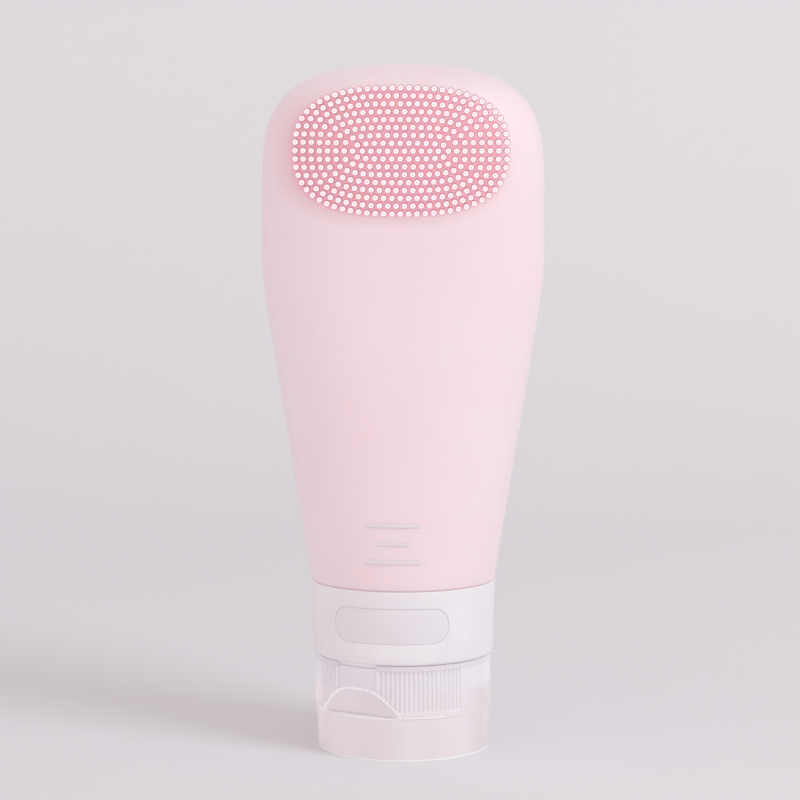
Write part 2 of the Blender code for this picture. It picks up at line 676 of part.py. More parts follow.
def make_cap_base(material):
    cap = turned("cap_base", cap_section(), material)
    ridge = thread_ridge("cap_thread", SLEEVE_BORE, SLEEVE_BORE - THREAD_DEPTH,
                         neck_thread_height() - THREAD_PITCH / 2.0, THREAD_LEAD_TURNS)
    combine(cap, ridge, "UNION")
    scoop_half_angle = math.acos((SLEEVE_OUTER + SCOOP_BACK_WALL) / CAP_BOTTOM_RADIUS)
    backing = block_round("scoop_backing", SLEEVE_OUTER - SLEEVE_WALL / 2.0, CAP_BORE + CAP_WALL / 2.0,
                          SCOOP_AZIMUTH, scoop_half_angle, DECK_TOP - DECK_THICKNESS / 2.0,
                          CAP_BOTTOM + SCOOP_RISE + CAP_WALL, ROUND_SEGMENTS // 6)
    combine(cap, backing, "UNION")
    combine(cap, grip_grooves(), "DIFFERENCE")
    panel_foot = CAP_BOTTOM + SCOOP_RISE * SCOOP_KNEE_RISE_SHARE * SCOOP_SEAT_SHARE
    panel = block_round("smooth_panel", CAP_TOP_RADIUS - RIB_DEPTH, CAP_BOTTOM_RADIUS + OVERRUN,
                        SCOOP_AZIMUTH, PANEL_HALF_ANGLE, panel_foot, CAP_TOP + OVERRUN, PANEL_STEPS)
    combine(cap, panel, "DIFFERENCE")
    notch = block_round("panel_notch", CAP_BORE - CLEARANCE, CAP_TOP_RADIUS + OVERRUN, SCOOP_AZIMUTH,
                        NOTCH_HALF_ANGLE, CAP_TOP - PANEL_NOTCH_DEPTH, CAP_TOP + OVERRUN, PANEL_STEPS)
    combine(cap, notch, "DIFFERENCE")
    scoop = prism_across("thumb_scoop", SCOOP_AZIMUTH, scoop_section(), CAP_BOTTOM_RADIUS)
    combine(cap, scoop, "DIFFERENCE")
    combine(cap, hinge_seat("cap_hinge_seat"), "DIFFERENCE")
    return cap


# Gasket, valve and retainer

def make_cap_gasket(material):
    top = GASKET_BOTTOM + GASKET_THICKNESS
    inner, outer = SEAL_OUTER + CLEARANCE, SLEEVE_BORE - CLEARANCE
    return turned("cap_gasket", [(inner, GASKET_BOTTOM), (outer, GASKET_BOTTOM), (outer, top), (inner, top)],
                  material)


def make_slit_valve(material):
    barrel = ORIFICE_RADIUS - CLEARANCE
    seat = DECK_TOP + CLEARANCE
    skin_bottom = seat - VALVE_DROP
    outline = [(0.0, skin_bottom), (barrel, skin_bottom), (barrel, seat), (VALVE_FLANGE_RADIUS, seat),
               (VALVE_FLANGE_RADIUS, seat + VALVE_FLANGE_THICKNESS),
               (barrel - VALVE_WALL, seat + VALVE_FLANGE_THICKNESS),
               (barrel - VALVE_WALL, skin_bottom + VALVE_SKIN), (0.0, skin_bottom + VALVE_SKIN)]
    valve = turned("slit_valve", outline, material, SMALL_SEGMENTS)
    half_slit = barrel * VALVE_SLIT_LENGTH_SHARE / 2.0
    slits = []
    for azimuth in (0.0, math.pi / 2.0):
        section = [(-half_slit, skin_bottom - OVERRUN), (half_slit, skin_bottom - OVERRUN),
                   (half_slit, skin_bottom + VALVE_SKIN + OVERRUN),
                   (-half_slit, skin_bottom + VALVE_SKIN + OVERRUN)]
        slits.append(prism_across(f"slit_{len(slits)}", azimuth, section, VALVE_SLIT_WIDTH / 2.0))
    for slit in slits:
        combine(valve, slit, "DIFFERENCE")
    return valve


def make_valve_retainer(material):
    seat = DECK_TOP + CLEARANCE
    under = seat + VALVE_FLANGE_THICKNESS + CLEARANCE
    top = under + RETAINER_THICKNESS
    skirt_bore = VALVE_FLANGE_RADIUS + CLEARANCE
    outer = SEAL_BORE - CLEARANCE
    outline = [(skirt_bore, seat), (outer, seat), (outer, top), (RETAINER_BORE_RADIUS, top),
               (RETAINER_BORE_RADIUS, under), (skirt_bore, under)]
    return turned("valve_retainer", outline, material, SMALL_SEGMENTS)


# Flip lid and living hinge

def hinge_point():
    return around(HINGE_DISTANCE, HINGE_AZIMUTH, HINGE_HEIGHT)


def hinge_seat(name):
    """The flat that the living hinge lies in, cut from the lid and the cap alike."""
    inner = HINGE_DISTANCE - HINGE_SETBACK
    half_height = FILM_HALF_HEIGHT + CLEARANCE
    section = [(inner, HINGE_HEIGHT - half_height), (HINGE_DISTANCE + OVERRUN, HINGE_HEIGHT - half_height),
               (HINGE_DISTANCE + OVERRUN, HINGE_HEIGHT + half_height), (inner, HINGE_HEIGHT + half_height)]
    return prism_across(name, HINGE_AZIMUTH, section, HINGE_WIDTH / 2.0)


def make_hinge_film(material):
    inner = HINGE_DISTANCE - HINGE_SETBACK + CLEARANCE
    outer = inner + FILM_THICKNESS
    section = [(inner, HINGE_HEIGHT - FILM_HALF_HEIGHT), (outer, HINGE_HEIGHT - FILM_HALF_HEIGHT),
               (outer, HINGE_HEIGHT + FILM_HALF_HEIGHT), (inner, HINGE_HEIGHT + FILM_HALF_HEIGHT)]
    film = prism_across("hinge_film", HINGE_AZIMUTH, section, HINGE_WIDTH / 2.0 - CLEARANCE)
    film.data.materials.append(material)
    return film


def make_flip_lid(material):
    """A cup whose plug stands up into the spout; its origin is on the hinge's axis."""
    foot_radius = LID_RADIUS - LID_TAPER
    plug_top = DECK_TOP - VALVE_DROP
    plug_outer = ORIFICE_RADIUS - CLEARANCE
    outline = [(0.0, 0.0)]
    outline += arc(foot_radius - LID_EDGE_ROUND, LID_EDGE_ROUND, LID_EDGE_ROUND, -math.pi / 2.0, 0.0,
                   LID_EDGE_STEPS)
    outline += [(LID_RADIUS, LID_HEIGHT), (LID_RADIUS - LID_WALL, LID_HEIGHT),
                (foot_radius - LID_WALL, LID_FLOOR), (plug_outer, LID_FLOOR),
                (plug_outer, plug_top - PLUG_WALL / 2.0),
                (plug_outer - PLUG_WALL / 2.0, plug_top), (plug_outer - PLUG_WALL, plug_top),
                (plug_outer - PLUG_WALL, LID_FLOOR), (0.0, LID_FLOOR)]
    lid = turned("flip_lid", outline, material)
    combine(lid, hinge_seat("lid_hinge_seat"), "DIFFERENCE")
    lid.data.transform(Matrix.Translation(-hinge_point()))
    axis = bpy.data.objects.new("lid_hinge_axis", None)
    axis.location = hinge_point()
    bpy.context.collection.objects.link(axis)
    lid.parent = axis
    return lid


# The whole bottle

def clear_scene():
    for piece in list(bpy.data.objects):
        bpy.data.objects.remove(piece)


def make_bottle():
    clear_scene()
    pink_silicone = plastic("pink_silicone", (0.90, 0.66, 0.70), 0.55)
    nub_silicone = plastic("nub_silicone", (0.93, 0.78, 0.80), 0.50)
    white_plastic = plastic("white_plastic", (0.86, 0.83, 0.85), 0.42)
    clear_plastic = plastic("clear_plastic", (0.88, 0.82, 0.84), 0.22, 0.7)
    window_plastic = plastic("window_plastic", (0.84, 0.80, 0.83), 0.25, 0.3)

    make_squeeze_body(pink_silicone)
    make_brush_pad(nub_silicone)
    make_neck_insert(white_plastic)
    make_contents_ring(white_plastic)
    make_collar(white_plastic)
    make_window_lens(window_plastic)
    make_cap_base(clear_plastic)
    make_cap_gasket(pink_silicone)
    make_slit_valve(pink_silicone)
    make_valve_retainer(clear_plastic)
    make_flip_lid(clear_plastic)
    make_hinge_film(clear_plastic)


make_bottle()
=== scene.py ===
# Brush-top bottle: a soft squeeze bottle that stands on its flip-top screw cap.
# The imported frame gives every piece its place. Metres, +Z up, the nubs face -Y.

import math

import bmesh
import bpy
from mathutils import Matrix, Vector


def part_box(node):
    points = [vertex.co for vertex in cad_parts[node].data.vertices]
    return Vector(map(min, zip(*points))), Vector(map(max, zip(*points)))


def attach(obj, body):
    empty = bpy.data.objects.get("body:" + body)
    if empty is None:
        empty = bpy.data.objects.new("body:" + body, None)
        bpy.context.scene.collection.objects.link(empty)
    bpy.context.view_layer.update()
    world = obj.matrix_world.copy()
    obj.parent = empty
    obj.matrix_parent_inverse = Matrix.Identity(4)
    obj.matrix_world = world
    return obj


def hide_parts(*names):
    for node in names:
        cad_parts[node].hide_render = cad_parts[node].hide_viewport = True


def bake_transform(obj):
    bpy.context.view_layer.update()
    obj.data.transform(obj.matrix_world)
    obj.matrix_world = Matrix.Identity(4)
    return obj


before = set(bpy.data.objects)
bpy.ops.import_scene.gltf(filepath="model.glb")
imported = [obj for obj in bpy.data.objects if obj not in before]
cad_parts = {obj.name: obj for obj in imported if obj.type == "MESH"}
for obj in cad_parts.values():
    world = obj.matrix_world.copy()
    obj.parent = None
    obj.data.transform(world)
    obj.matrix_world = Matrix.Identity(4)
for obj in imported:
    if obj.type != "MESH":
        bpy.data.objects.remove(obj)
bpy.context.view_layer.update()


# Neck insert
# Hard white polypropylene, injection moulded in one shot. A barbed spigot stands inside the soft
# neck, a flange seats it in the collar, and the screw thread below takes the cap.

NECK_COLUMNS = 144
NECK_BORE = 0.0112
NECK_WALL = 0.0016
SPIGOT_BORE = 0.0120
SPIGOT_WALL = 0.0013
BARB_COUNT = 2
BARB_HEIGHT = 0.0005
BARB_RAMP = 0.0018
BARB_LAND = 0.0004
FLANGE_THICKNESS = 0.0014
COLLAR_LIP_THICKNESS = 0.0013
JOINT_GAP = 0.0003
THREAD_PITCH = 0.0030
THREAD_TURNS = 1.5
THREAD_DEPTH = 0.0008
THREAD_ROOT = 0.0013
THREAD_CREST = 0.0007
THREAD_SINK = 0.0003
THREAD_STEPS_PER_TURN = 72
HARD_EDGE = 0.00015
SHARP_ANGLE = math.radians(35.0)
UPRIGHT = (math.pi / 2.0, 0.0, 0.0)
DRIFT_LOW, DRIFT_HIGH = 0.35, 0.65
EDGE_HIGHLIGHT_ANGLE = 0.35

neck_low, neck_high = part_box("neck_insert")
collar_low, collar_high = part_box("collar")
body_low, body_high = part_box("squeeze_body")


def add_shape(primitive, **settings):
    """Adds a primitive at its size and place, with nothing else selected."""
    bpy.ops.object.select_all(action="DESELECT")
    primitive(**settings)
    return bpy.context.object


def settle():
    """Puts the selected object's place, turn and scale into its mesh."""
    bpy.ops.object.transform_apply(location=True, rotation=True, scale=True)


def extrude(offset):
    bpy.ops.mesh.extrude_region_move(TRANSFORM_OT_translate={"value": offset})


def resize(shares, centre):
    bpy.ops.transform.resize(value=shares, center_override=centre)


def close_mesh():
    """Turns all the faces outwards and goes back to object mode."""
    bpy.ops.mesh.select_all(action="SELECT")
    bpy.ops.mesh.normals_make_consistent(inside=False)
    bpy.ops.object.mode_set(mode="OBJECT")


def select_corners(piece, wanted):
    """Selects the corners that a test picks out."""
    bpy.ops.mesh.select_all(action="DESELECT")
    mesh = bmesh.from_edit_mesh(piece.data)
    for corner in mesh.verts:
        corner.select = wanted(corner)
    mesh.select_flush_mode()


def select_open_edges():
    bpy.ops.mesh.select_all(action="DESELECT")
    bpy.ops.mesh.select_non_manifold(extend=False, use_wire=False, use_boundary=True,
                                     use_multi_face=False, use_non_contiguous=False, use_verts=False)


def close_on_axis(rise):
    """Draws the selected ring together on the bottle's axis, a rise above or below it."""
    extrude((0.0, 0.0, rise))
    bpy.ops.mesh.merge(type="CENTER")


def turn(name, section, columns, first_column=0.0):
    """Turns a wall: a ring is drawn at one corner of its section and extruded to each of the others."""
    rings = [corner for corner in section if corner[0] > 0.0]
    radius, height = rings[0]
    piece = add_shape(bpy.ops.mesh.primitive_circle_add, vertices=columns, radius=radius,
                      location=(0.0, 0.0, height), rotation=(0.0, 0.0, first_column))
    piece.name = name
    bpy.ops.object.mode_set(mode="EDIT")
    bpy.ops.mesh.select_mode(type="VERT")
    for next_radius, next_height in rings[1:]:
        extrude((0.0, 0.0, next_height - height))
        resize((next_radius / radius, next_radius / radius, 1.0), (0.0, 0.0, next_height))
        radius, height = next_radius, next_height
    if section[-1][0] == 0.0:
        close_on_axis(section[-1][1] - height)
    select_open_edges()
    if section[0][0] == 0.0:
        close_on_axis(section[0][1] - rings[0][1])
    else:
        bpy.ops.mesh.bridge_edge_loops()
    close_mesh()
    settle()
    return piece


def only(piece):
    """Makes one piece the selected and active one."""
    bpy.ops.object.select_all(action="DESELECT")
    piece.select_set(True)
    bpy.context.view_layer.objects.active = piece


def apply_modifier(piece, kind, **settings):
    only(piece)
    modifier = piece.modifiers.new(kind.lower(), kind)
    for name, value in settings.items():
        setattr(modifier, name, value)
    bpy.ops.object.modifier_apply(modifier=modifier.name)


def soften(piece, width, segments=2, angle=SHARP_ANGLE):
    """Rounds the sharp edges, as a mould's corners are."""
    apply_modifier(piece, "BEVEL", width=width, segments=segments, limit_method="ANGLE", angle_limit=angle,
                   use_clamp_overlap=True, harden_normals=False)


def join_with(piece, tool, operation):
    """Adds a tool shape to a piece or cuts it away, and removes the tool."""
    apply_modifier(piece, "BOOLEAN", operation=operation, solver="EXACT", object=tool)
    bpy.data.objects.remove(tool)


def smooth(piece, angle=SHARP_ANGLE):
    only(piece)
    bpy.ops.object.shade_smooth_by_angle(angle=angle)


def thread_ridge(wall, outwards, start_azimuth, start_height):
    """A right-hand ridge: its section is drawn on the wall and screwed up round the axis."""
    depth = THREAD_SINK + THREAD_DEPTH
    centre = (wall + outwards * (depth / 2.0 - THREAD_SINK), 0.0, start_height)
    ridge = add_shape(bpy.ops.mesh.primitive_plane_add, size=1.0, location=centre, rotation=UPRIGHT)
    bpy.ops.object.mode_set(mode="EDIT")
    resize((depth, 1.0, THREAD_ROOT), centre)
    select_corners(ridge, lambda corner: (ridge.matrix_world @ corner.co).x * outwards > centre[0] * outwards)
    resize((1.0, 1.0, THREAD_CREST / THREAD_ROOT), centre)
    bpy.ops.mesh.select_all(action="SELECT")
    bpy.ops.mesh.delete(type="ONLY_FACE")
    bpy.ops.object.mode_set(mode="OBJECT")
    settle()
    ridge.rotation_euler.z = start_azimuth
    settle()
    steps = round(THREAD_STEPS_PER_TURN * THREAD_TURNS)
    apply_modifier(ridge, "SCREW", angle=THREAD_TURNS * 2.0 * math.pi,
                   screw_offset=THREAD_TURNS * THREAD_PITCH, steps=steps, render_steps=steps,
                   use_merge_vertices=False)
    bpy.ops.object.mode_set(mode="EDIT")
    bpy.ops.mesh.select_all(action="SELECT")
    bpy.ops.mesh.fill_holes(sides=4)
    close_mesh()
    return ridge


def barbs(radius, gap):
    """The spigot's barbs, from the flange up; a gap opens them into the soft neck's grooves."""
    section = []
    spacing = (neck_high.z - flange_top) / (BARB_COUNT + 1)
    for barb in range(1, BARB_COUNT + 1):
        top = flange_top + spacing * barb
        land = top - BARB_RAMP
        section += [(radius, land - BARB_LAND - gap), (radius + BARB_HEIGHT, land - BARB_LAND - gap),
                    (radius + BARB_HEIGHT, land + gap), (radius, top + gap)]
    return section


flange_radius = neck_high.x
flange_bottom = collar_low.z + COLLAR_LIP_THICKNESS + JOINT_GAP
flange_top = flange_bottom + FLANGE_THICKNESS
neck_outer = NECK_BORE + NECK_WALL
spigot_outer = SPIGOT_BORE + SPIGOT_WALL
hard_neck = turn("hard_neck", [
    (NECK_BORE, neck_low.z), (neck_outer, neck_low.z), (neck_outer, flange_bottom),
    (flange_radius, flange_bottom), (flange_radius, flange_top), (spigot_outer, flange_top),
    *barbs(spigot_outer, 0.0), (spigot_outer, neck_high.z), (SPIGOT_BORE, neck_high.z),
    (SPIGOT_BORE, flange_top), (NECK_BORE, flange_top - (SPIGOT_BORE - NECK_BORE))], NECK_COLUMNS)
soften(hard_neck, HARD_EDGE)
neck_thread_height = neck_low.z + THREAD_ROOT
neck_thread = thread_ridge(neck_outer, outwards=1.0, start_azimuth=-math.pi / 2.0,
                           start_height=neck_thread_height)
join_with(hard_neck, neck_thread, "UNION")
smooth(hard_neck)


def set_inputs(node, inputs):
    """Gives each named input of a node its value or colour, or a link from another node's output."""
    for name, value in inputs.items():
        socket = node.inputs[name]
        if isinstance(value, bpy.types.NodeSocket):
            node.id_data.links.new(value, socket)
        else:
            socket.default_value = (*value, 1.0) if socket.type == "RGBA" else value


def add_node(tree, kind, inputs=None, **settings):
    """A shader node with its settings and inputs."""
    node = tree.nodes.new("ShaderNode" + kind)
    for name, value in settings.items():
        setattr(node, name, value)
    set_inputs(node, inputs or {})
    return node


def maths(tree, operation, first, second, **settings):
    return add_node(tree, "Math", {0: first, 1: second}, operation=operation, **settings).outputs["Value"]


def along_axis(tree, vector, axis):
    return add_node(tree, "SeparateXYZ", {"Vector": vector}).outputs[axis]


def remap(tree, value, low, high, to_low=0.0, to_high=1.0, easing="LINEAR"):
    """Carries a value over from between low and high to between two others."""
    return add_node(tree, "MapRange", {"Value": value, "From Min": low, "From Max": high, "To Min": to_low,
                                       "To Max": to_high}, interpolation_type=easing).outputs["Result"]


def mixed(tree, share, colour, tone, blend_type="MIX"):
    """A colour with a share of a tone laid over it."""
    return add_node(tree, "Mix", {"Factor": share, "A": colour, "B": tone}, data_type="RGBA",
                    blend_type=blend_type).outputs["Result"]


def ramp(tree, share, stops):
    """A colour that runs through tones, each at its place from 0 to 1."""
    node = add_node(tree, "ValToRGB", {"Fac": share})
    tones = node.color_ramp.elements
    tones.remove(tones[0])
    tones[0].position = stops[0][0]
    tones[0].color = (*stops[0][1], 1.0)
    for position, tone in stops[1:]:
        tones.new(position).color = (*tone, 1.0)
    return node.outputs["Color"]


def uneven(tree, place, low, high, size):
    """A value or colour that drifts a little from place to place."""
    drift = add_node(tree, "TexNoise", {"Vector": place, "Scale": 1.0 / size, "Detail": 2.0}).outputs["Fac"]
    if isinstance(low, float):
        return remap(tree, drift, DRIFT_LOW, DRIFT_HIGH, low, high)
    return ramp(tree, drift, ((DRIFT_LOW, low), (DRIFT_HIGH, high)))


def new_material(name, colour, grain, grain_height):
    """A Principled material with a mould's fine grain: noise of a real size, as a bump of a real height."""
    material = bpy.data.materials.new(name)
    material.use_nodes = True
    material.diffuse_color = (*colour, 1.0)
    tree = material.node_tree
    shader = tree.nodes["Principled BSDF"]
    place = add_node(tree, "TexCoord").outputs["Object"]
    noise = add_node(tree, "TexNoise", {"Vector": place, "Scale": 1.0 / grain, "Detail": 3.0})
    bump = add_node(tree, "Bump", {"Height": noise.outputs["Fac"], "Distance": grain_height, "Strength": 1.0})
    set_inputs(shader, {"Normal": bump.outputs["Normal"]})
    return material, tree, shader, place


def white_polypropylene():
    """Hard white plastic, with painted highlights where an edge stands out."""
    material, tree, shader, place = new_material("white_polypropylene", (0.86, 0.83, 0.85),
                                                 grain=0.00035, grain_height=0.000004)
    tone = uneven(tree, place, (0.835, 0.795, 0.825), (0.865, 0.830, 0.855), size=0.012)
    edge = add_node(tree, "Attribute", attribute_name="edge").outputs["Fac"]
    set_inputs(shader, {
        "Base Color": mixed(tree, remap(tree, edge, 0.0, EDGE_HIGHLIGHT_ANGLE), tone, (1.0, 0.98, 0.98)),
        "Roughness": uneven(tree, place, 0.36, 0.46, size=0.006),
        "Subsurface Weight": 0.12, "Subsurface Radius": (1.0, 0.9, 0.95), "Subsurface Scale": 0.0012,
        "IOR": 1.49})
    return material


white_plastic = white_polypropylene()
hard_neck.data.materials.append(white_plastic)
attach(hard_neck, "bottle")
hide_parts("neck_insert")


# Contents ring
# A thin band of the same hard plastic, slipped over the soft neck behind the window. It stays
# with the bottle while the collar turns, and is left blank.

ring_low, ring_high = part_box("contents_ring")
RING_WALL = 0.0006
ring_radius = ring_high.x
blank_ring = turn("blank_ring", [
    (ring_radius - RING_WALL, ring_low.z), (ring_radius, ring_low.z),
    (ring_radius, ring_high.z), (ring_radius - RING_WALL, ring_high.z)], NECK_COLUMNS)
soften(blank_ring, HARD_EDGE)
smooth(blank_ring)
blank_ring.data.materials.append(white_plastic)
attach(blank_ring, "bottle")
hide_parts("contents_ring")


# Squeeze body
# Pink silicone moulded in one piece, open at the neck: round at the shoulder, a flattened oval
# at its widest, with a wall of 2.3 mm. Its skin is silky, with a faint bloom.

BODY_COLUMNS = 168
FLANK_RINGS = 44
DOME_RINGS = 30
BODY_HALF_DEPTH = 0.0175
BODY_WALL = 0.0023
SOFT_NECK_WALL = 0.0016
SHOULDER_ROUND = 0.00012
SEAM_GAP = 0.00003
FLANK_ARC_RADIUS = 0.083
FLANK_HEIGHT = 0.0686
NECK_SQUARENESS = 2.0
TOP_SQUARENESS = 2.35
WIDTH_RISE, WIDTH_CROWN = 5.15, 2.63
DEPTH_RISE, DEPTH_CROWN = 5.6, 3.0
OUT, UP, IN, DOWN = 0.0, math.pi / 2.0, math.pi, -math.pi / 2.0

shoulder_height = collar_high.z + JOINT_GAP
shoulder_seat = collar_high.z + SEAM_GAP
widest_height = shoulder_height + FLANK_HEIGHT
dome_height = body_high.z - widest_height
waist_radius = collar_high.x
half_width = body_high.x


def flank_width(height):
    """A straight flare from the waist that runs into a wide arc at the widest level."""
    centre = half_width - FLANK_ARC_RADIUS
    reach = math.hypot(waist_radius - centre, FLANK_HEIGHT)
    flare = math.atan2(FLANK_HEIGHT, waist_radius - centre) - math.acos(FLANK_ARC_RADIUS / reach)
    drop = widest_height - height
    if drop < FLANK_ARC_RADIUS * math.sin(flare):
        return centre + math.sqrt(FLANK_ARC_RADIUS ** 2 - drop ** 2)
    return waist_radius + (height - shoulder_height) * math.tan(flare)


def body_section(height):
    """Half width, half depth and squareness of the skin at a height."""
    if height <= widest_height:
        share = (height - shoulder_height) / FLANK_HEIGHT
        eased = share * share * (3.0 - 2.0 * share)
        return (flank_width(height), waist_radius + (BODY_HALF_DEPTH - waist_radius) * eased,
                NECK_SQUARENESS + (TOP_SQUARENESS - NECK_SQUARENESS) * eased)
    share = (height - widest_height) / dome_height
    return (half_width * (1.0 - share ** WIDTH_RISE) ** (1.0 / WIDTH_CROWN),
            BODY_HALF_DEPTH * (1.0 - share ** DEPTH_RISE) ** (1.0 / DEPTH_CROWN), TOP_SQUARENESS)


def body_front(x, height):
    """The skin's front, on the side of the nubs."""
    width, depth, squareness = body_section(height)
    return -depth * (1.0 - (abs(x) / width) ** squareness) ** (1.0 / squareness)


def on_oval(width, depth, squareness, angle):
    """A point of an oval that is squarer than an ellipse where squareness is above 2."""
    c, s = math.cos(angle), math.sin(angle)
    return (width * math.copysign(abs(c) ** (2.0 / squareness), c),
            depth * math.copysign(abs(s) ** (2.0 / squareness), s))


def lay_ring(piece, was, now):
    """Moves the selected ring from one oval to another, each corner along its own column."""
    width, depth, squareness, _ = was
    skin = bmesh.from_edit_mesh(piece.data)
    for corner in skin.verts:
        if corner.select:
            c = math.copysign(abs(corner.co.x / width) ** (squareness / 2.0), corner.co.x)
            s = math.copysign(abs(corner.co.y / depth) ** (squareness / 2.0), corner.co.y)
            column = round(math.atan2(s, c) / (2.0 * math.pi) * BODY_COLUMNS)
            corner.co = (*on_oval(*now[:3], 2.0 * math.pi * column / BODY_COLUMNS), now[3])
    bmesh.update_edit_mesh(piece.data)


def rounded(radius, height, size, facing, steps=3):
    """A section's corner, rounded off by a quarter turn to the left that starts at the facing angle."""
    middle_radius = radius - math.copysign(size, math.cos(facing + math.pi / 4.0))
    middle_height = height - math.copysign(size, math.sin(facing + math.pi / 4.0))
    angles = [facing + math.pi / 2.0 * step / steps for step in range(steps + 1)]
    return [(middle_radius + size * math.cos(angle), middle_height + size * math.sin(angle))
            for angle in angles]


body_levels = [shoulder_height + SHOULDER_ROUND + (FLANK_HEIGHT - SHOULDER_ROUND) * ring / FLANK_RINGS
               for ring in range(FLANK_RINGS + 1)]
body_levels += [widest_height
                + dome_height * math.sin(math.pi / 2.0 * ring / DOME_RINGS) ** (2.0 / WIDTH_RISE)
                for ring in range(1, DOME_RINGS)]
soft_neck_bore = spigot_outer + JOINT_GAP
soft_neck_outer = soft_neck_bore + SOFT_NECK_WALL
cavity_share = (dome_height - BODY_WALL) / dome_height

# From the crown of the cavity down to the mouth, and up the outside to the crown
ovals = []
for level in reversed(body_levels):
    width, depth, squareness = body_section(level)
    inside = min(level, widest_height) + max(level - widest_height, 0.0) * cavity_share
    if inside > neck_high.z + BODY_WALL:
        ovals.append((width - BODY_WALL, depth - BODY_WALL, squareness, inside))
neck_grooves = barbs(soft_neck_bore, JOINT_GAP)[::-1]
shoulder = rounded(waist_radius, shoulder_seat, SHOULDER_ROUND, DOWN)
ovals += [(radius, radius, NECK_SQUARENESS, height) for radius, height in (
    (soft_neck_bore, neck_high.z), *neck_grooves, (soft_neck_bore, body_low.z),
    (soft_neck_outer, body_low.z), (soft_neck_outer, shoulder_seat), *shoulder)]
ovals += [(*body_section(level), level) for level in body_levels[1:]]

soft_body = add_shape(bpy.ops.mesh.primitive_circle_add, vertices=BODY_COLUMNS, radius=half_width)
soft_body.name = "soft_body"
bpy.ops.object.mode_set(mode="EDIT")
lay_ring(soft_body, (half_width, half_width, NECK_SQUARENESS, 0.0), ovals[0])
for oval, next_oval in zip(ovals, ovals[1:]):
    bpy.ops.mesh.extrude_region_move()
    lay_ring(soft_body, oval, next_oval)
close_on_axis(body_high.z - ovals[-1][3])
select_open_edges()
close_on_axis(body_high.z - BODY_WALL - ovals[0][3])
close_mesh()
smooth(soft_body)

# Size and place of the oval field of nubs, which the silicone's painted shade follows
FIELD_WIDTH_SHARE = 0.731
FIELD_HEIGHT_SHARE = 0.340
FIELD_LEVEL_SHARE = 0.529
FIELD_OUTER_SQUARENESS = 2.7
NUB_GAP_SHADE_SHIFT, NUB_GAP_SHADE_REACH = (0.0007, 0.0004), (0.86, 1.22, 1.0)
NUB_SHADOW_SHIFT, NUB_SHADOW_REACH = (0.0021, 0.0010), (0.75, 1.70, 0.52)
SEAM_SHADE_HEIGHT = 0.0004
field_half_width = half_width * FIELD_WIDTH_SHARE
field_half_height = dome_height * FIELD_HEIGHT_SHARE
field_level = widest_height + dome_height * FIELD_LEVEL_SHARE


def field_share(tree, place, aside, drop, near, far, most):
    """A soft-edged mask over the field, moved to the left and down; reach 1 is the outer row."""
    centred = add_node(tree, "Mapping", {
        "Vector": place,
        "Location": (aside / field_half_width, 0.0, (drop - field_level) / field_half_height),
        "Scale": (1.0 / field_half_width, 1.0, 1.0 / field_half_height)}).outputs["Vector"]
    size = add_node(tree, "VectorMath", {0: centred}, operation="ABSOLUTE").outputs["Vector"]
    across, up = (maths(tree, "POWER", along_axis(tree, size, axis), FIELD_OUTER_SQUARENESS) for axis in "XZ")
    share = remap(tree, maths(tree, "ADD", across, up), near, far, most, 0.0, "SMOOTHSTEP")
    return maths(tree, "MULTIPLY", share, maths(tree, "LESS_THAN", along_axis(tree, place, "Y"), 0.0))


def pink_silicone():
    """Translucent silicone, with painted shade: a deeper pink between the nubs, a painted shadow beside them
    and a darker line at the collar.
    """
    material, tree, shader, place = new_material("pink_silicone", (0.90, 0.66, 0.70),
                                                 grain=0.0005, grain_height=0.000004)
    seam_shade = remap(tree, along_axis(tree, place, "Z"), shoulder_seat + SEAM_SHADE_HEIGHT / 2.0,
                 shoulder_seat + SEAM_SHADE_HEIGHT, 1.0, 0.0)

    # Painted shade: deeper pink between the nubs, a painted shadow of the nubs to their left and below, and a
    # painted dark line down at the collar
    colour = uneven(tree, place, (0.930, 0.735, 0.770), (0.935, 0.760, 0.800), size=0.025)
    for share, tone in ((field_share(tree, place, *NUB_SHADOW_SHIFT, *NUB_SHADOW_REACH), (0.80, 0.50, 0.55)),
                        (field_share(tree, place, *NUB_GAP_SHADE_SHIFT, *NUB_GAP_SHADE_REACH), (0.88, 0.42, 0.49)),
                        (seam_shade, (0.78, 0.50, 0.55))):
        colour = mixed(tree, share, colour, tone)
    set_inputs(shader, {
        "Base Color": colour, "Roughness": uneven(tree, place, 0.46, 0.56, size=0.004),
        "Subsurface Weight": 0.35, "Subsurface Radius": (1.0, 0.45, 0.5), "Subsurface Scale": 0.0025,
        "IOR": 1.41, "Specular IOR Level": 0.9, "Sheen Weight": 0.3, "Sheen Roughness": 0.4})
    return material


soft_pink = pink_silicone()
soft_body.data.materials.append(soft_pink)
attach(soft_body, "bottle")
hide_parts("squeeze_body")


# Nubs
# The brush is moulded with the body: concentric rows of soft round nubs about a straight middle
# row. Each is a little wider at its foot, and its tip is a rounded rim about a small dimple.

NUB_ROW_PITCH = 0.00154
NUB_PITCH = 0.00166
NUB_SIDES = 10
NUB_LENGTH = 0.0024
NUB_SINK = 0.0004
NUB_FOOT_RADIUS = 0.00073
NUB_WAIST_RADIUS = 0.00071
NUB_WAIST_HEIGHT = 0.0007
NUB_TIP_RADIUS = 0.00056
NUB_RIM_RADIUS = 0.00049
NUB_RIM_DROP = 0.00010
NUB_DIMPLE_RADIUS = 0.00019
NUB_DIMPLE_DEPTH = 0.00007
NUB_TIP_START, NUB_TIP_END = 0.66, 0.72
NUB_TIP_GLOW = 0.09
FIELD_INNER_SQUARENESS = 4.0
OVAL_SAMPLES = 1440
NUB_SHARP_ANGLE = math.radians(60.0)


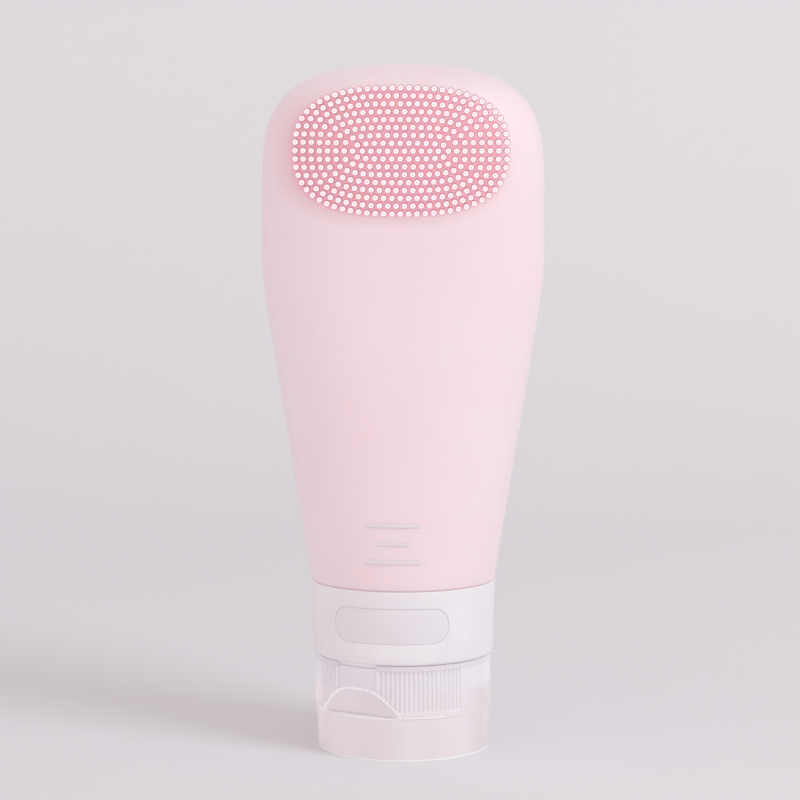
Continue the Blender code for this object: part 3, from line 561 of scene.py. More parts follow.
def spaced_oval(oval_width, oval_height, squareness):
    """Places at even steps along an oval row, an even number of them."""
    fine = [Vector(on_oval(oval_width, oval_height, squareness, 2.0 * math.pi * index / OVAL_SAMPLES))
            for index in range(OVAL_SAMPLES + 1)]
    runs = [0.0]
    for here, after in zip(fine, fine[1:]):
        runs.append(runs[-1] + (after - here).length)
    count = 2 * round(runs[-1] / NUB_PITCH / 2.0)
    places, sample = [], 0
    for mark in range(count):
        wanted = runs[-1] * mark / count
        while runs[sample + 1] < wanted:
            sample += 1
        share = (wanted - runs[sample]) / (runs[sample + 1] - runs[sample])
        places.append(fine[sample].lerp(fine[sample + 1], share))
    return places


def nub_places():
    """Where the nubs stand, as (x, height above the field's middle)."""
    rows = round(field_half_height / NUB_ROW_PITCH)
    places = []
    for row in range(rows):
        share = row / (rows - 1)
        places += spaced_oval(field_half_width - row * NUB_PITCH, field_half_height * (1.0 - row / rows),
                              FIELD_OUTER_SQUARENESS
                              + (FIELD_INNER_SQUARENESS - FIELD_OUTER_SQUARENESS) * share)
    middle = field_half_width - rows * NUB_PITCH
    count = 2 * math.floor(middle / NUB_PITCH + 0.5)
    places += [Vector(((index - (count - 1) / 2.0) * NUB_PITCH, 0.0)) for index in range(count)]
    return places


# One nub, drawn along -Y ring by ring, with its rise kept for its painted highlights and shade
nub_rings = [
    (NUB_FOOT_RADIUS, -NUB_SINK, 0.0), (NUB_WAIST_RADIUS, NUB_WAIST_HEIGHT, 0.3),
    (NUB_TIP_RADIUS, NUB_LENGTH - NUB_RIM_DROP, 0.7), (NUB_RIM_RADIUS, NUB_LENGTH, 0.85),
    (NUB_DIMPLE_RADIUS, NUB_LENGTH - NUB_DIMPLE_DEPTH, 1.0)]
nub = add_shape(bpy.ops.mesh.primitive_circle_add, vertices=NUB_SIDES, radius=NUB_FOOT_RADIUS,
                location=(0.0, NUB_SINK, 0.0), rotation=UPRIGHT)
bpy.ops.object.mode_set(mode="EDIT")
for (radius, reach, _), (next_radius, next_reach, _) in zip(nub_rings, nub_rings[1:]):
    extrude((0.0, reach - next_reach, 0.0))
    resize((next_radius / radius, 1.0, next_radius / radius), (0.0, -next_reach, 0.0))
bpy.ops.mesh.edge_face_add()
select_open_edges()
bpy.ops.mesh.edge_face_add()
close_mesh()
settle()
rise_along = nub.data.attributes.new("rise", "FLOAT", "POINT")
for index, corner in enumerate(nub.data.vertices):
    rise_along.data[index].value = min(nub_rings, key=lambda ring: abs(ring[1] + corner.co.y)
                                       + abs(ring[0] - math.hypot(corner.co.x, corner.co.z)))[2]


def join_all(name, pieces):
    """Makes one piece of several."""
    only(pieces[0])
    for piece in pieces:
        piece.select_set(True)
    bpy.ops.object.join()
    pieces[0].name = name
    return pieces[0]


nubs = []
for place in nub_places():
    height = field_level + place.y
    copy = nub.copy()
    copy.data = nub.data.copy()
    copy.data.transform(Matrix.Translation((place.x, body_front(place.x, height), height)))
    bpy.context.collection.objects.link(copy)
    nubs.append(copy)
bpy.data.objects.remove(nub)
brush_nubs = join_all("brush_nubs", nubs)
smooth(brush_nubs, NUB_SHARP_ANGLE)


def nub_silicone():
    """The same silicone, with painted shade at the foot and down the sides, a painted highlight on the tip's
    rim, a painted reflection in its dimple and a painted glow at the tip.
    """
    material, tree, shader, place = new_material("nub_silicone", (0.93, 0.74, 0.77),
                                                 grain=0.0004, grain_height=0.000003)
    rise = add_node(tree, "Attribute", attribute_name="rise").outputs["Fac"]
    # Painted shade at the foot and down the sides, a painted highlight on the rim, a pink painted reflection
    # in the dimple
    painted_nub_tone = ramp(tree, rise, (
        (0.0, (0.88, 0.42, 0.49)), (0.28, (0.80, 0.36, 0.43)), (0.34, (0.62, 0.18, 0.25)),
        (0.64, (0.60, 0.17, 0.24)), (0.69, (0.98, 0.95, 0.96)), (0.90, (0.99, 0.97, 0.975)),
        (1.0, (0.93, 0.68, 0.74))))

    # Painted glow: the tip gives off a little light of its own, in its painted colours
    set_inputs(shader, {
        "Emission Color": painted_nub_tone,
        "Emission Strength": remap(tree, rise, NUB_TIP_START, NUB_TIP_END, 0.0, NUB_TIP_GLOW),
        "Base Color": painted_nub_tone, "Roughness": uneven(tree, place, 0.42, 0.52, size=0.003),
        "Subsurface Weight": 0.4, "Subsurface Radius": (1.0, 0.8, 0.85), "Subsurface Scale": 0.0006,
        "IOR": 1.41})
    return material


brush_nubs.data.materials.append(nub_silicone())
# Light goes through the thin nubs, so they don't darken what lies between them
brush_nubs.visible_diffuse = False
brush_nubs.visible_shadow = False
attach(brush_nubs, "bottle")
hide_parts("brush_pad")


# Level marks
# Plain raised bars on the lower front that show how full the bottle is. They are moulded in one
# with the body, of the same silicone, and their edges are rounded.

MARK_CENTRE = -0.0015
MARK_LEVELS = (0.0408, 0.0445, 0.0482)
MARK_LENGTHS = (0.0110, 0.0066, 0.0110)
MARK_WIDTH = 0.0008
MARK_RISE = 0.00025
MARK_ROUND = 0.00015
MARK_COLUMNS = 24
MARK_ROWS = 2
MARK_CORNER_ANGLE = math.radians(60.0)
MARK_SHARP_ANGLE = math.radians(50.0)


def upright_sheet(columns, rows, centre, width, height):
    """A flat grid that faces the front."""
    sheet = add_shape(bpy.ops.mesh.primitive_grid_add, x_subdivisions=columns, y_subdivisions=rows, size=1.0,
                      location=centre, rotation=UPRIGHT)
    bpy.ops.object.mode_set(mode="EDIT")
    resize((width, 1.0, height), centre)
    bpy.ops.object.mode_set(mode="OBJECT")
    settle()
    return sheet


bars = []
for level, length in zip(MARK_LEVELS, MARK_LENGTHS):
    bar = upright_sheet(MARK_COLUMNS, MARK_ROWS, (MARK_CENTRE, -half_width, level), length, MARK_WIDTH)
    apply_modifier(bar, "SHRINKWRAP", target=soft_body, wrap_method="PROJECT", use_project_y=True,
                   use_positive_direction=True, use_negative_direction=False)
    apply_modifier(bar, "SOLIDIFY", thickness=MARK_RISE * 2.0, offset=0.0)
    soften(bar, MARK_ROUND, segments=3, angle=MARK_CORNER_ANGLE)
    bars.append(bar)
level_marks = join_all("level_marks", bars)
smooth(level_marks, MARK_SHARP_ANGLE)
level_marks.data.materials.append(soft_pink)
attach(level_marks, "bottle")


# Collar and window
# A hard white sleeve that clamps the soft neck and turns on it. Its wall is pierced by an oblong
# window, which a milky pane fills from inside, a little below the collar's face.

COLLAR_COLUMNS = 192
COLLAR_WALL = 0.0017
COLLAR_LIP_REACH = 0.0019
COLLAR_TAPER = 0.0003
COLLAR_FOOT_ROUND = 0.0008
COLLAR_RIM_ROUND = 0.00014
WINDOW_AZIMUTH = math.radians(-7.3)
WINDOW_LENGTH = 0.0255
WINDOW_HEIGHT = 0.0072
WINDOW_COLUMNS = 36
WINDOW_ARC_POINTS = 48
WINDOW_EDGE_ROUND = 0.00012
PANE_FLANGE = 0.0005
PANE_RECESS = 0.00012
PANE_EDGE_ROUND = 0.00007
PANE_GAP = 0.00002

collar_radius = collar_high.x
collar_bore = collar_radius - COLLAR_WALL
collar_foot = collar_radius - COLLAR_TAPER
lip_radius = collar_bore - COLLAR_LIP_REACH
window_low, window_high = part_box("window_lens")
window_level = (window_low.z + window_high.z) / 2.0


def mark_edges(piece, tone=lambda corner, angle: angle):
    """Keeps how far each corner stands out or lies in, as an angle, for painted highlights on the edges that
    stand out and painted shade in those that lie in.
    """
    shell = bmesh.new()
    shell.from_mesh(piece.data)
    edge = piece.data.attributes.new("edge", "FLOAT", "POINT")
    for corner in shell.verts:
        angles = [side.calc_face_angle_signed(0.0) for side in corner.link_edges]
        edge.data[corner.index].value = tone(corner, max(angles, key=abs))
    shell.free()


collar_sleeve = turn("collar_sleeve", [
    (lip_radius, collar_low.z),
    *rounded(collar_foot, collar_low.z, COLLAR_FOOT_ROUND, DOWN, steps=6),
    (collar_radius, collar_high.z - 2.0 * COLLAR_RIM_ROUND),
    *rounded(collar_radius, collar_high.z, COLLAR_RIM_ROUND, OUT, steps=4),
    (collar_bore, collar_high.z), (collar_bore, collar_low.z + COLLAR_LIP_THICKNESS),
    (lip_radius, collar_low.z + COLLAR_LIP_THICKNESS)], COLLAR_COLUMNS)


def collar_face(height):
    """The collar's outer radius, which narrows a little downwards."""
    share = (height - collar_low.z) / (collar_high.z - collar_low.z)
    return collar_foot + COLLAR_TAPER * share


def oblong(name, layers):
    """A plate with round ends, drawn flat in layers of (margin, depth below the collar's face),
    cut into columns and then bent round the collar at the window."""
    margin, depth = layers[0]
    straight = (WINDOW_LENGTH - WINDOW_HEIGHT) / 2.0
    plate = add_shape(bpy.ops.mesh.primitive_circle_add, vertices=WINDOW_ARC_POINTS,
                      radius=WINDOW_HEIGHT / 2.0 + margin, location=(0.0, depth, window_level),
                      fill_type="NGON", rotation=(math.pi / 2.0, math.pi / WINDOW_ARC_POINTS, 0.0))
    plate.name = name
    settle()
    bpy.ops.object.mode_set(mode="EDIT")
    for side in (-1.0, 1.0):
        select_corners(plate, lambda corner: corner.co.x * side > 0.0)
        bpy.ops.transform.translate(value=(side * straight, 0.0, 0.0))
    bpy.ops.mesh.select_all(action="SELECT")
    for column in range(1, WINDOW_COLUMNS):
        cut = WINDOW_LENGTH * (column / WINDOW_COLUMNS - 0.5)
        bpy.ops.mesh.bisect(plane_co=(cut, 0.0, 0.0), plane_no=(1.0, 0.0, 0.0))
        bpy.ops.mesh.select_all(action="SELECT")
    for next_margin, next_depth in layers[1:]:
        extrude((0.0, next_depth - depth, 0.0))
        face = bmesh.from_edit_mesh(plate.data)
        share = (WINDOW_HEIGHT / 2.0 + next_margin) / (WINDOW_HEIGHT / 2.0 + margin)
        for corner in face.verts:
            if corner.select:
                middle = max(-straight, min(straight, corner.co.x))
                corner.co.x = middle + (corner.co.x - middle) * share
                corner.co.z = window_level + (corner.co.z - window_level) * share
        bmesh.update_edit_mesh(plate.data)
        margin, depth = next_margin, next_depth
    close_mesh()
    for corner in plate.data.vertices:
        azimuth = WINDOW_AZIMUTH + corner.co.x / collar_radius
        radius = collar_face(corner.co.z) - corner.co.y
        corner.co = (radius * math.sin(azimuth), -radius * math.cos(azimuth), corner.co.z)
    return plate


# The opening's lip is rounded, from the face down to the wall's full depth
lip_round = rounded(0.0, 0.0, WINDOW_EDGE_ROUND, IN, steps=4)[::-1]
opening = oblong("window_opening", [(WINDOW_EDGE_ROUND, -COLLAR_WALL), *lip_round, (0.0, 2.0 * COLLAR_WALL)])
join_with(collar_sleeve, opening, "DIFFERENCE")
smooth(collar_sleeve)
# Painted highlights on the collar's rim above the window
mark_edges(collar_sleeve, lambda corner, angle: angle if corner.co.z > window_high.z else 0.0)
collar_sleeve.data.materials.append(white_plastic)
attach(collar_sleeve, "collar")
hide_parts("collar")

# The pane's flange lies behind the wall, and its face ends just short of the collar's
flange_margin = (window_high.z - window_low.z - WINDOW_HEIGHT) / 2.0
flange_back = collar_radius - ring_radius - JOINT_GAP
flange_front = flange_back - PANE_FLANGE
pane_round = rounded(-PANE_GAP, PANE_RECESS, PANE_EDGE_ROUND, DOWN, steps=4)[::-1]
window_pane = oblong("window_pane", [(flange_margin, flange_back), (flange_margin, flange_front),
                                     (-PANE_GAP, flange_front), *pane_round])
smooth(window_pane)


def milky_pane():
    """The pane's plastic: a little light goes through it to the ring behind."""
    material, tree, shader, place = new_material("milky_pane", (0.84, 0.80, 0.83),
                                                 grain=0.0006, grain_height=0.000002)
    set_inputs(shader, {
        "Base Color": uneven(tree, place, (0.85, 0.805, 0.835), (0.87, 0.825, 0.855), size=0.010),
        "Roughness": uneven(tree, place, 0.30, 0.40, size=0.005), "Transmission Weight": 0.05, "IOR": 1.49})
    return material


window_pane.data.materials.append(milky_pane())
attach(window_pane, "collar")
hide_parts("window_lens")


# Cap base
# The screw cap, moulded in one shot of clear polypropylene that stays a little milky: a skirt with
# grip ribs and a thumb scoop, a threaded sleeve, a seal for the neck's bore and a spout, on one deck.

CAP_COLUMNS = 1080
CAP_FLARE = 0.00025
CAP_WALL = 0.0012
CAP_SHARP_ANGLE = math.radians(50.0)
CAP_EDGE = 0.00015
CAP_RIM_EDGE = 0.00015
CAP_RIM_MIDDLE_SHARE = 0.45
CAP_RIM_STEP = 0.00003
DECK_THICKNESS = 0.0015
THREAD_CLEARANCE = 0.0004
THREAD_LEAD_TURNS = 1.0 / 3.0
SLEEVE_WALL = 0.0011
SLEEVE_SHORTFALL = 0.0010
ORIFICE_RADIUS = 0.0042
SPOUT_WALL = 0.0012
SEAL_WALL = 0.0012
SEAL_RISE = 0.0038
SEAL_BEAD = 0.0005
SKIRT_STEP = 0.0003
SCOOP_AZIMUTH = math.radians(-30.8)
SCOOP_RISE = 0.0060
SCOOP_HALF_ANGLE = 60.0
SCOOP_TOP_STEP = 0.0002
SCOOP_TOP_BELOW, SCOOP_TOP_ABOVE = 0.0012, 0.0004
SCOOP_BACK_WALL = 0.0003
SCOOP_KNEE_RISE_SHARE = 0.87
SCOOP_KNEE_DEPTH_SHARE = 0.24
SCOOP_EDGE_BLEND = 0.0004
SCOOP_RIM = 0.00013
RIB_PITCH = 3.0
RIBS_PER_SIDE = 19
RIB_DEPTH = 0.00025
RIB_FOOT_RISE = 0.0012
GROOVE_STEP = 360.0 / CAP_COLUMNS
GROOVE_DEPTH_SHARES = (1.0, 1.0, 0.78, 0.10)
PANEL_HALF_ANGLE = 15.0
PANEL_RIM_START, PANEL_RIM_END = 0.5, 2.5
NOTCH_HALF_ANGLE = 14.4
NOTCH_DEPTH = 0.0009
RIB_END = 0.0001
RIB_EDGE_SHARE = 0.55
MOUTH_SHADE = -0.7
SIDE_SHADE_HALF_WIDTH = 0.020
HAZE_SQUARE_ON, HAZE_ASLANT = 0.86, 0.97
COLLAR_SHADE_START, COLLAR_SHADE_END = 0.0125, 0.0155
EDGE_START, EDGE_END = 0.10, 0.55
HINGE_WIDTH = 0.0088
HINGE_SETBACK = 0.0006
FILM_HALF_HEIGHT = 0.0018

cap_low, cap_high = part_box("cap_base")
lid_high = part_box("flip_lid")[1]
cap_bottom = lid_high.z + JOINT_GAP
cap_top = collar_low.z - 2.0 * SEAM_GAP
cap_foot_radius = cap_high.x
cap_top_radius = cap_foot_radius - CAP_FLARE
cap_bore = cap_top_radius - CAP_WALL
deck_top = cap_bottom + DECK_THICKNESS
sleeve_bore = neck_outer + THREAD_DEPTH + THREAD_CLEARANCE
sleeve_outer = sleeve_bore + SLEEVE_WALL
seal_outer = NECK_BORE - JOINT_GAP
seal_bore = seal_outer - SEAL_WALL
seal_top = deck_top + SEAL_RISE
rib_foot = cap_bottom + RIB_FOOT_RISE
rim_foot = cap_top - NOTCH_DEPTH - 2.0 * CAP_RIM_EDGE
scoop_top = cap_bottom + SCOOP_RISE


def cap_radius(height):
    """The skirt flares a little towards the parting line."""
    return cap_foot_radius - CAP_FLARE * (height - cap_bottom) / (cap_top - cap_bottom)


def steps_between(low, high, step):
    count = max(1, round((high - low) / step))
    return [low + (high - low) * index / count for index in range(count)]


skirt_levels = [
    *steps_between(cap_bottom + CAP_EDGE, scoop_top - SCOOP_TOP_BELOW, SKIRT_STEP),
    *steps_between(scoop_top - SCOOP_TOP_BELOW, scoop_top + SCOOP_TOP_ABOVE, SCOOP_TOP_STEP),
    *steps_between(scoop_top + SCOOP_TOP_ABOVE, rim_foot, 4.0 * SKIRT_STEP)]
foot_edge = rounded(cap_foot_radius, cap_bottom, CAP_EDGE, DOWN)[:-1]
outer_rim = rounded(cap_top_radius, cap_top, CAP_RIM_EDGE, OUT, steps=2)
inner_rim = rounded(cap_bore, cap_top, CAP_RIM_EDGE, UP, steps=2)
rim_middle = cap_bore + CAP_WALL * CAP_RIM_MIDDLE_SHARE
bore_levels = [rim_foot, *steps_between(deck_top, scoop_top + CAP_WALL, 2.0 * SKIRT_STEP)[::-1]]
screw_cap = turn("screw_cap", [
    (ORIFICE_RADIUS, cap_low.z), (ORIFICE_RADIUS + SPOUT_WALL, cap_low.z),
    (ORIFICE_RADIUS + SPOUT_WALL, cap_bottom), *foot_edge,
    *[(cap_radius(level), level) for level in skirt_levels], (cap_radius(rim_foot), rim_foot),
    (cap_radius(rim_foot), rim_foot + RIB_END), *outer_rim,
    (rim_middle + CAP_RIM_STEP, cap_top), (rim_middle, cap_top), *inner_rim,
    *[(cap_bore, level) for level in bore_levels],
    (sleeve_outer, deck_top), (sleeve_outer, cap_top - SLEEVE_SHORTFALL),
    (sleeve_bore, cap_top - SLEEVE_SHORTFALL), (sleeve_bore, deck_top),
    (seal_outer, deck_top), (seal_outer, seal_top), (seal_bore - SEAL_BEAD, seal_top),
    (seal_bore - SEAL_BEAD, seal_top - SEAL_BEAD), (seal_bore, seal_top - 2.0 * SEAL_BEAD),
    (seal_bore, deck_top), (ORIFICE_RADIUS, deck_top)], CAP_COLUMNS, SCOOP_AZIMUTH)


def from_scoop(corner):
    """Degrees round the axis from the middle of the thumb scoop, -180 to 180."""
    azimuth = math.atan2(corner.co.x, -corner.co.y) - SCOOP_AZIMUTH
    return math.degrees(math.atan2(math.sin(azimuth), math.cos(azimuth)))


def from_axis(corner):
    return math.hypot(corner.co.x, corner.co.y)


def on_skirt(corner):
    return from_axis(corner) > cap_bore + CAP_WALL / 2.0


def in_groove(corner, step):
    """Whether a corner lies so many steps off the middle of a groove between two ribs."""
    beside = abs(from_scoop(corner)) - PANEL_HALF_ANGLE
    off = abs(beside / RIB_PITCH - round(beside / RIB_PITCH)) * RIB_PITCH
    return (on_skirt(corner) and abs(off - step * GROOVE_STEP) < GROOVE_STEP / 4.0
            and rib_foot + SKIRT_STEP / 2.0 < corner.co.z < rim_foot + RIB_END / 2.0
            and RIB_PITCH / 2.0 < beside < (RIBS_PER_SIDE + 0.5) * RIB_PITCH)


only(screw_cap)
bpy.ops.object.mode_set(mode="EDIT")
for step, depth_share in enumerate(GROOVE_DEPTH_SHARES):
    select_corners(screw_cap, lambda corner: in_groove(corner, step))
    share = 1.0 - RIB_DEPTH * depth_share / cap_top_radius
    resize((share, share, 1.0), (0.0, 0.0, cap_top))
select_corners(screw_cap, lambda corner: corner.co.z > rim_foot + 2.0 * RIB_END
               and abs(from_scoop(corner)) < NOTCH_HALF_ANGLE
               and from_axis(corner) > rim_middle + CAP_RIM_STEP / 2.0)
bpy.ops.transform.translate(value=(0.0, 0.0, -NOTCH_DEPTH))
bpy.ops.object.mode_set(mode="OBJECT")

scoop_foot_radius = sleeve_outer + SCOOP_BACK_WALL
scoop_depth = cap_foot_radius - scoop_foot_radius
scoop_knee_radius = cap_foot_radius - scoop_depth * SCOOP_KNEE_DEPTH_SHARE
scoop_knee = cap_bottom + SCOOP_RISE * SCOOP_KNEE_RISE_SHARE


def scoop_radius(height, angle):
    """How far the scoop's flat lies from the axis: it leans out, and turns out sharply at its knee."""
    if height < scoop_knee:
        distance = (scoop_foot_radius + (scoop_knee_radius - scoop_foot_radius)
                    * (height - cap_bottom) / (scoop_knee - cap_bottom))
    else:
        distance = (scoop_knee_radius + (cap_foot_radius - scoop_knee_radius)
                    * (height - scoop_knee) / (scoop_top - scoop_knee))
    return distance / math.cos(math.radians(angle))


def blended(first, second, width):
    """The smaller of two radii, with the crease between them rounded off."""
    near = max(width - abs(first - second), 0.0) / width
    return min(first, second) - near * near * width / 4.0


# The smooth panel and the scoop below it are pressed into the skirt, and the bore follows the scoop
for corner in screw_cap.data.vertices:
    radius = from_axis(corner)
    angle = from_scoop(corner)
    if radius < cap_bore - CAP_RIM_EDGE or abs(angle) > SCOOP_HALF_ANGLE:
        continue
    skin = radius
    if on_skirt(corner) and abs(angle) < PANEL_HALF_ANGLE + GROOVE_STEP / 2.0:
        skin = min(skin, cap_top_radius - RIB_DEPTH)
    if corner.co.z < scoop_top + 2.0 * SKIRT_STEP:
        scoop = scoop_radius(corner.co.z, angle)
        if on_skirt(corner):
            skin = blended(skin, scoop, SCOOP_EDGE_BLEND)
        elif corner.co.z > deck_top - SKIRT_STEP:
            back = max(scoop - CAP_WALL, sleeve_outer + SCOOP_BACK_WALL / 3.0)
            skin = blended(skin, back, SCOOP_EDGE_BLEND)
    corner.co.x *= skin / radius
    corner.co.y *= skin / radius

cap_thread = thread_ridge(sleeve_bore, outwards=-1.0,
                          start_azimuth=2.0 * math.pi * THREAD_LEAD_TURNS - math.pi / 2.0,
                          start_height=neck_thread_height + THREAD_PITCH * (THREAD_LEAD_TURNS - 0.5))
join_with(screw_cap, cap_thread, "UNION")


def towards(azimuth, elevation=0.0):
    """The way out at an azimuth, counted from the front round to the right, and an elevation."""
    return Vector((math.sin(azimuth) * math.cos(elevation), -math.cos(azimuth) * math.cos(elevation),
                   math.sin(elevation)))


# The flat behind, opposite the scoop, that the living hinge lies in
hinge_azimuth = SCOOP_AZIMUTH + math.pi
hinge_distance = math.sqrt(cap_foot_radius ** 2 - (HINGE_WIDTH / 2.0) ** 2) + JOINT_GAP / 2.0
hinge_height = lid_high.z + JOINT_GAP / 2.0


def hinge_seat():
    """A block as wide as the hinge, with its inner face on the seat."""
    middle = hinge_distance - HINGE_SETBACK + HINGE_WIDTH / 2.0
    block = add_shape(bpy.ops.mesh.primitive_cube_add, size=1.0, location=(0.0, -middle, hinge_height))
    block.scale = (HINGE_WIDTH, HINGE_WIDTH, 2.0 * (FILM_HALF_HEIGHT + JOINT_GAP))
    settle()
    block.rotation_euler.z = hinge_azimuth
    settle()
    return block


join_with(screw_cap, hinge_seat(), "DIFFERENCE")
smooth(screw_cap, CAP_SHARP_ANGLE)


def cap_edge(corner, angle):
    """Painted highlights on the foot and on the rims of the scoop, the panel and the notch, fainter
    ones on the ribs, and painted shade at the mouth."""
    height, beside = corner.co.z, abs(from_scoop(corner))
    if not on_skirt(corner) or height < rib_foot and beside > SCOOP_HALF_ANGLE:
        return angle
    if height > rim_foot + RIB_END / 2.0:
        return 1.0 if beside < NOTCH_HALF_ANGLE and height > rim_foot + RIB_END else MOUTH_SHADE
    scoop = scoop_radius(height, min(beside, SCOOP_HALF_ANGLE))
    at_foot = height < cap_bottom + CAP_EDGE + SKIRT_STEP / 2.0
    at_scoop = height < scoop_top and abs(scoop + RIB_DEPTH / 2.0 - cap_radius(height)) < SCOOP_RIM
    at_panel = (height > scoop_top
                and PANEL_RIM_START < (beside - PANEL_HALF_ANGLE) / GROOVE_STEP < PANEL_RIM_END)
    return 1.0 if at_foot or at_scoop or at_panel else angle * RIB_EDGE_SHARE


# The edge angles feed the clear plastic's painted highlights and painted shade
mark_edges(screw_cap, cap_edge)


def clear_polypropylene():
    """Polypropylene without pigment: a milky haze in the wall, painted highlights on edges that stand out and
    painted shade in those that lie in.
    """
    material, tree, shader, place = new_material("clear_polypropylene", (0.88, 0.82, 0.84),
                                                 grain=0.0007, grain_height=0.0000005)

    # The haze lies in soft upright bands
    bands = add_node(tree, "Mapping", {"Vector": place, "Scale": (1.0, 1.0, 0.12)}).outputs["Vector"]
    wall_colour = uneven(tree, bands, (0.975, 0.890, 0.925), (1.0, 0.935, 0.975), size=0.009)

    # The wall is a little darker to the right, where the key lamp would light it too brightly
    across = remap(tree, along_axis(tree, place, "X"), -SIDE_SHADE_HALF_WIDTH, SIDE_SHADE_HALF_WIDTH)
    side_shade = ramp(tree, across, ((0.15, (1.0, 1.0, 1.0)), (0.40, (0.96, 0.96, 0.955)),
                                (0.79, (0.96, 0.96, 0.955)), (0.90, (0.86, 0.855, 0.85))))
    wall_colour = mixed(tree, 1.0, wall_colour, side_shade, blend_type="MULTIPLY")

    # Painted shade: cooler and darker towards the cap's mouth, under the collar
    collar_shade = remap(tree, along_axis(tree, place, "Z"), COLLAR_SHADE_START, COLLAR_SHADE_END, easing="SMOOTHSTEP")
    wall_colour = mixed(tree, collar_shade, wall_colour, (0.93, 0.88, 0.94))

    # Painted shade on the edges that lie in, and painted highlights on those that stand out
    edge = add_node(tree, "Attribute", attribute_name="edge").outputs["Fac"]
    outwards = remap(tree, edge, EDGE_START, EDGE_END)
    wall_colour = mixed(tree, remap(tree, edge, -EDGE_START, -EDGE_END), wall_colour, (0.86, 0.80, 0.86))
    wall_colour = mixed(tree, outwards, wall_colour, (1.0, 0.99, 0.99))

    # The haze counts once for each wall, where the light goes in
    aslant = add_node(tree, "LayerWeight", {"Blend": 0.3}).outputs["Facing"]
    thick = maths(tree, "MAXIMUM", remap(tree, aslant, 0.0, 1.0, HAZE_SQUARE_ON, HAZE_ASLANT), outwards)
    backfacing = add_node(tree, "NewGeometry").outputs["Backfacing"]
    set_inputs(shader, {"Base Color": wall_colour, "Roughness": 0.26, "IOR": 1.49,
                        "Alpha": maths(tree, "SUBTRACT", thick, backfacing, use_clamp=True)})
    return material


clear_plastic = clear_polypropylene()
screw_cap.data.materials.append(clear_plastic)
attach(screw_cap, "cap")
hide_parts("cap_base")


# Gasket
# A flat silicone washer, cut from sheet, that lies loose on the cap's deck. The neck's rim is
# screwed down on it.

SMALL_COLUMNS = 96
SOFT_EDGE = 0.0002

gasket_low, gasket_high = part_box("cap_gasket")
sealing_washer = turn("sealing_washer", [
    (seal_outer + JOINT_GAP, gasket_low.z), (gasket_high.x, gasket_low.z),
    (gasket_high.x, gasket_high.z), (seal_outer + JOINT_GAP, gasket_high.z)], SMALL_COLUMNS)
soften(sealing_washer, SOFT_EDGE, segments=3)
smooth(sealing_washer)
sealing_washer.data.materials.append(soft_pink)
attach(sealing_washer, "gasket")
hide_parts("cap_gasket")


# Slit valve and its retainer
# A thin silicone cup with a dished skin and two crossed slits, which open when the body is
# squeezed. A clear ring, pressed into the bore seal, holds its flange down.

VALVE_FLANGE_THICKNESS = 0.0012
VALVE_WALL = 0.0008
VALVE_SKIN = 0.0007
VALVE_DISH = 0.0003
DISH_HALFWAY_SHARE = 0.7
SLIT_WIDTH = 0.00012
SLIT_LENGTH_SHARE = 1.3
RETAINER_BORE = 0.0044

valve_low, valve_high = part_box("slit_valve")
valve_barrel = ORIFICE_RADIUS - JOINT_GAP
valve_seat = deck_top + JOINT_GAP
valve_top = valve_seat + VALVE_FLANGE_THICKNESS
valve_bore = valve_barrel - VALVE_WALL
dish_halfway = valve_low.z + VALVE_DISH * DISH_HALFWAY_SHARE
soft_valve = turn("soft_valve", [
    (0.0, valve_low.z + VALVE_DISH), (valve_bore / 2.0, dish_halfway),
    (valve_bore, valve_low.z), (valve_barrel, valve_low.z), (valve_barrel, valve_seat),
    (valve_high.x, valve_seat), (valve_high.x, valve_top), (valve_bore, valve_top),
    (valve_bore, valve_low.z + VALVE_SKIN), (valve_bore / 2.0, dish_halfway + VALVE_SKIN),
    (0.0, valve_low.z + VALVE_SKIN + VALVE_DISH)], SMALL_COLUMNS)
for turned in (0.0, math.pi / 2.0):
    slit = add_shape(bpy.ops.mesh.primitive_cube_add, size=1.0, location=(0.0, 0.0, valve_low.z),
                     rotation=(0.0, 0.0, turned))
    slit.scale = (valve_barrel * SLIT_LENGTH_SHARE, SLIT_WIDTH, 4.0 * VALVE_SKIN)
    settle()
    join_with(soft_valve, slit, "DIFFERENCE")
smooth(soft_valve)
soft_valve.data.materials.append(soft_pink)
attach(soft_valve, "cap")
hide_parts("slit_valve")

retainer_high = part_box("valve_retainer")[1]
retainer_under = valve_top + JOINT_GAP
retainer_skirt = valve_high.x + JOINT_GAP
press_ring = turn("press_ring", [
    (retainer_skirt, valve_seat), (retainer_high.x, valve_seat), (retainer_high.x, retainer_high.z),
    (RETAINER_BORE, retainer_high.z), (RETAINER_BORE, retainer_under), (retainer_skirt, retainer_under)],
    SMALL_COLUMNS)
soften(press_ring, HARD_EDGE)
smooth(press_ring)
# Its edges get painted highlights and shade in the clear plastic
mark_edges(press_ring)
press_ring.data.materials.append(clear_plastic)
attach(press_ring, "cap")
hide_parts("valve_retainer")


# Flip lid
# A shallow cup of the same clear polypropylene, on which the bottle stands. The plug on its floor
# closes the spout, and the film behind, moulded with both halves, is its hinge.

LID_COLUMNS = 240
LID_TAPER = 0.0003
LID_WALL = 0.0012
LID_FLOOR = 0.0014
LID_EDGE_ROUND = 0.00012
LID_RIM_EDGE = 0.00012
LID_EDGE_BAND = 0.0003
LID_LEDGE_REACH = 0.0014
LID_LEDGE_DEPTH = 0.0010
PLUG_WALL = 0.0010
FILM_THICKNESS = 0.0004
FILM_WEB_SHARE = 0.55
FILM_WEB_HALF_HEIGHT = 0.0003
FILM_COLUMNS = 12
FILM_ROWS = 24

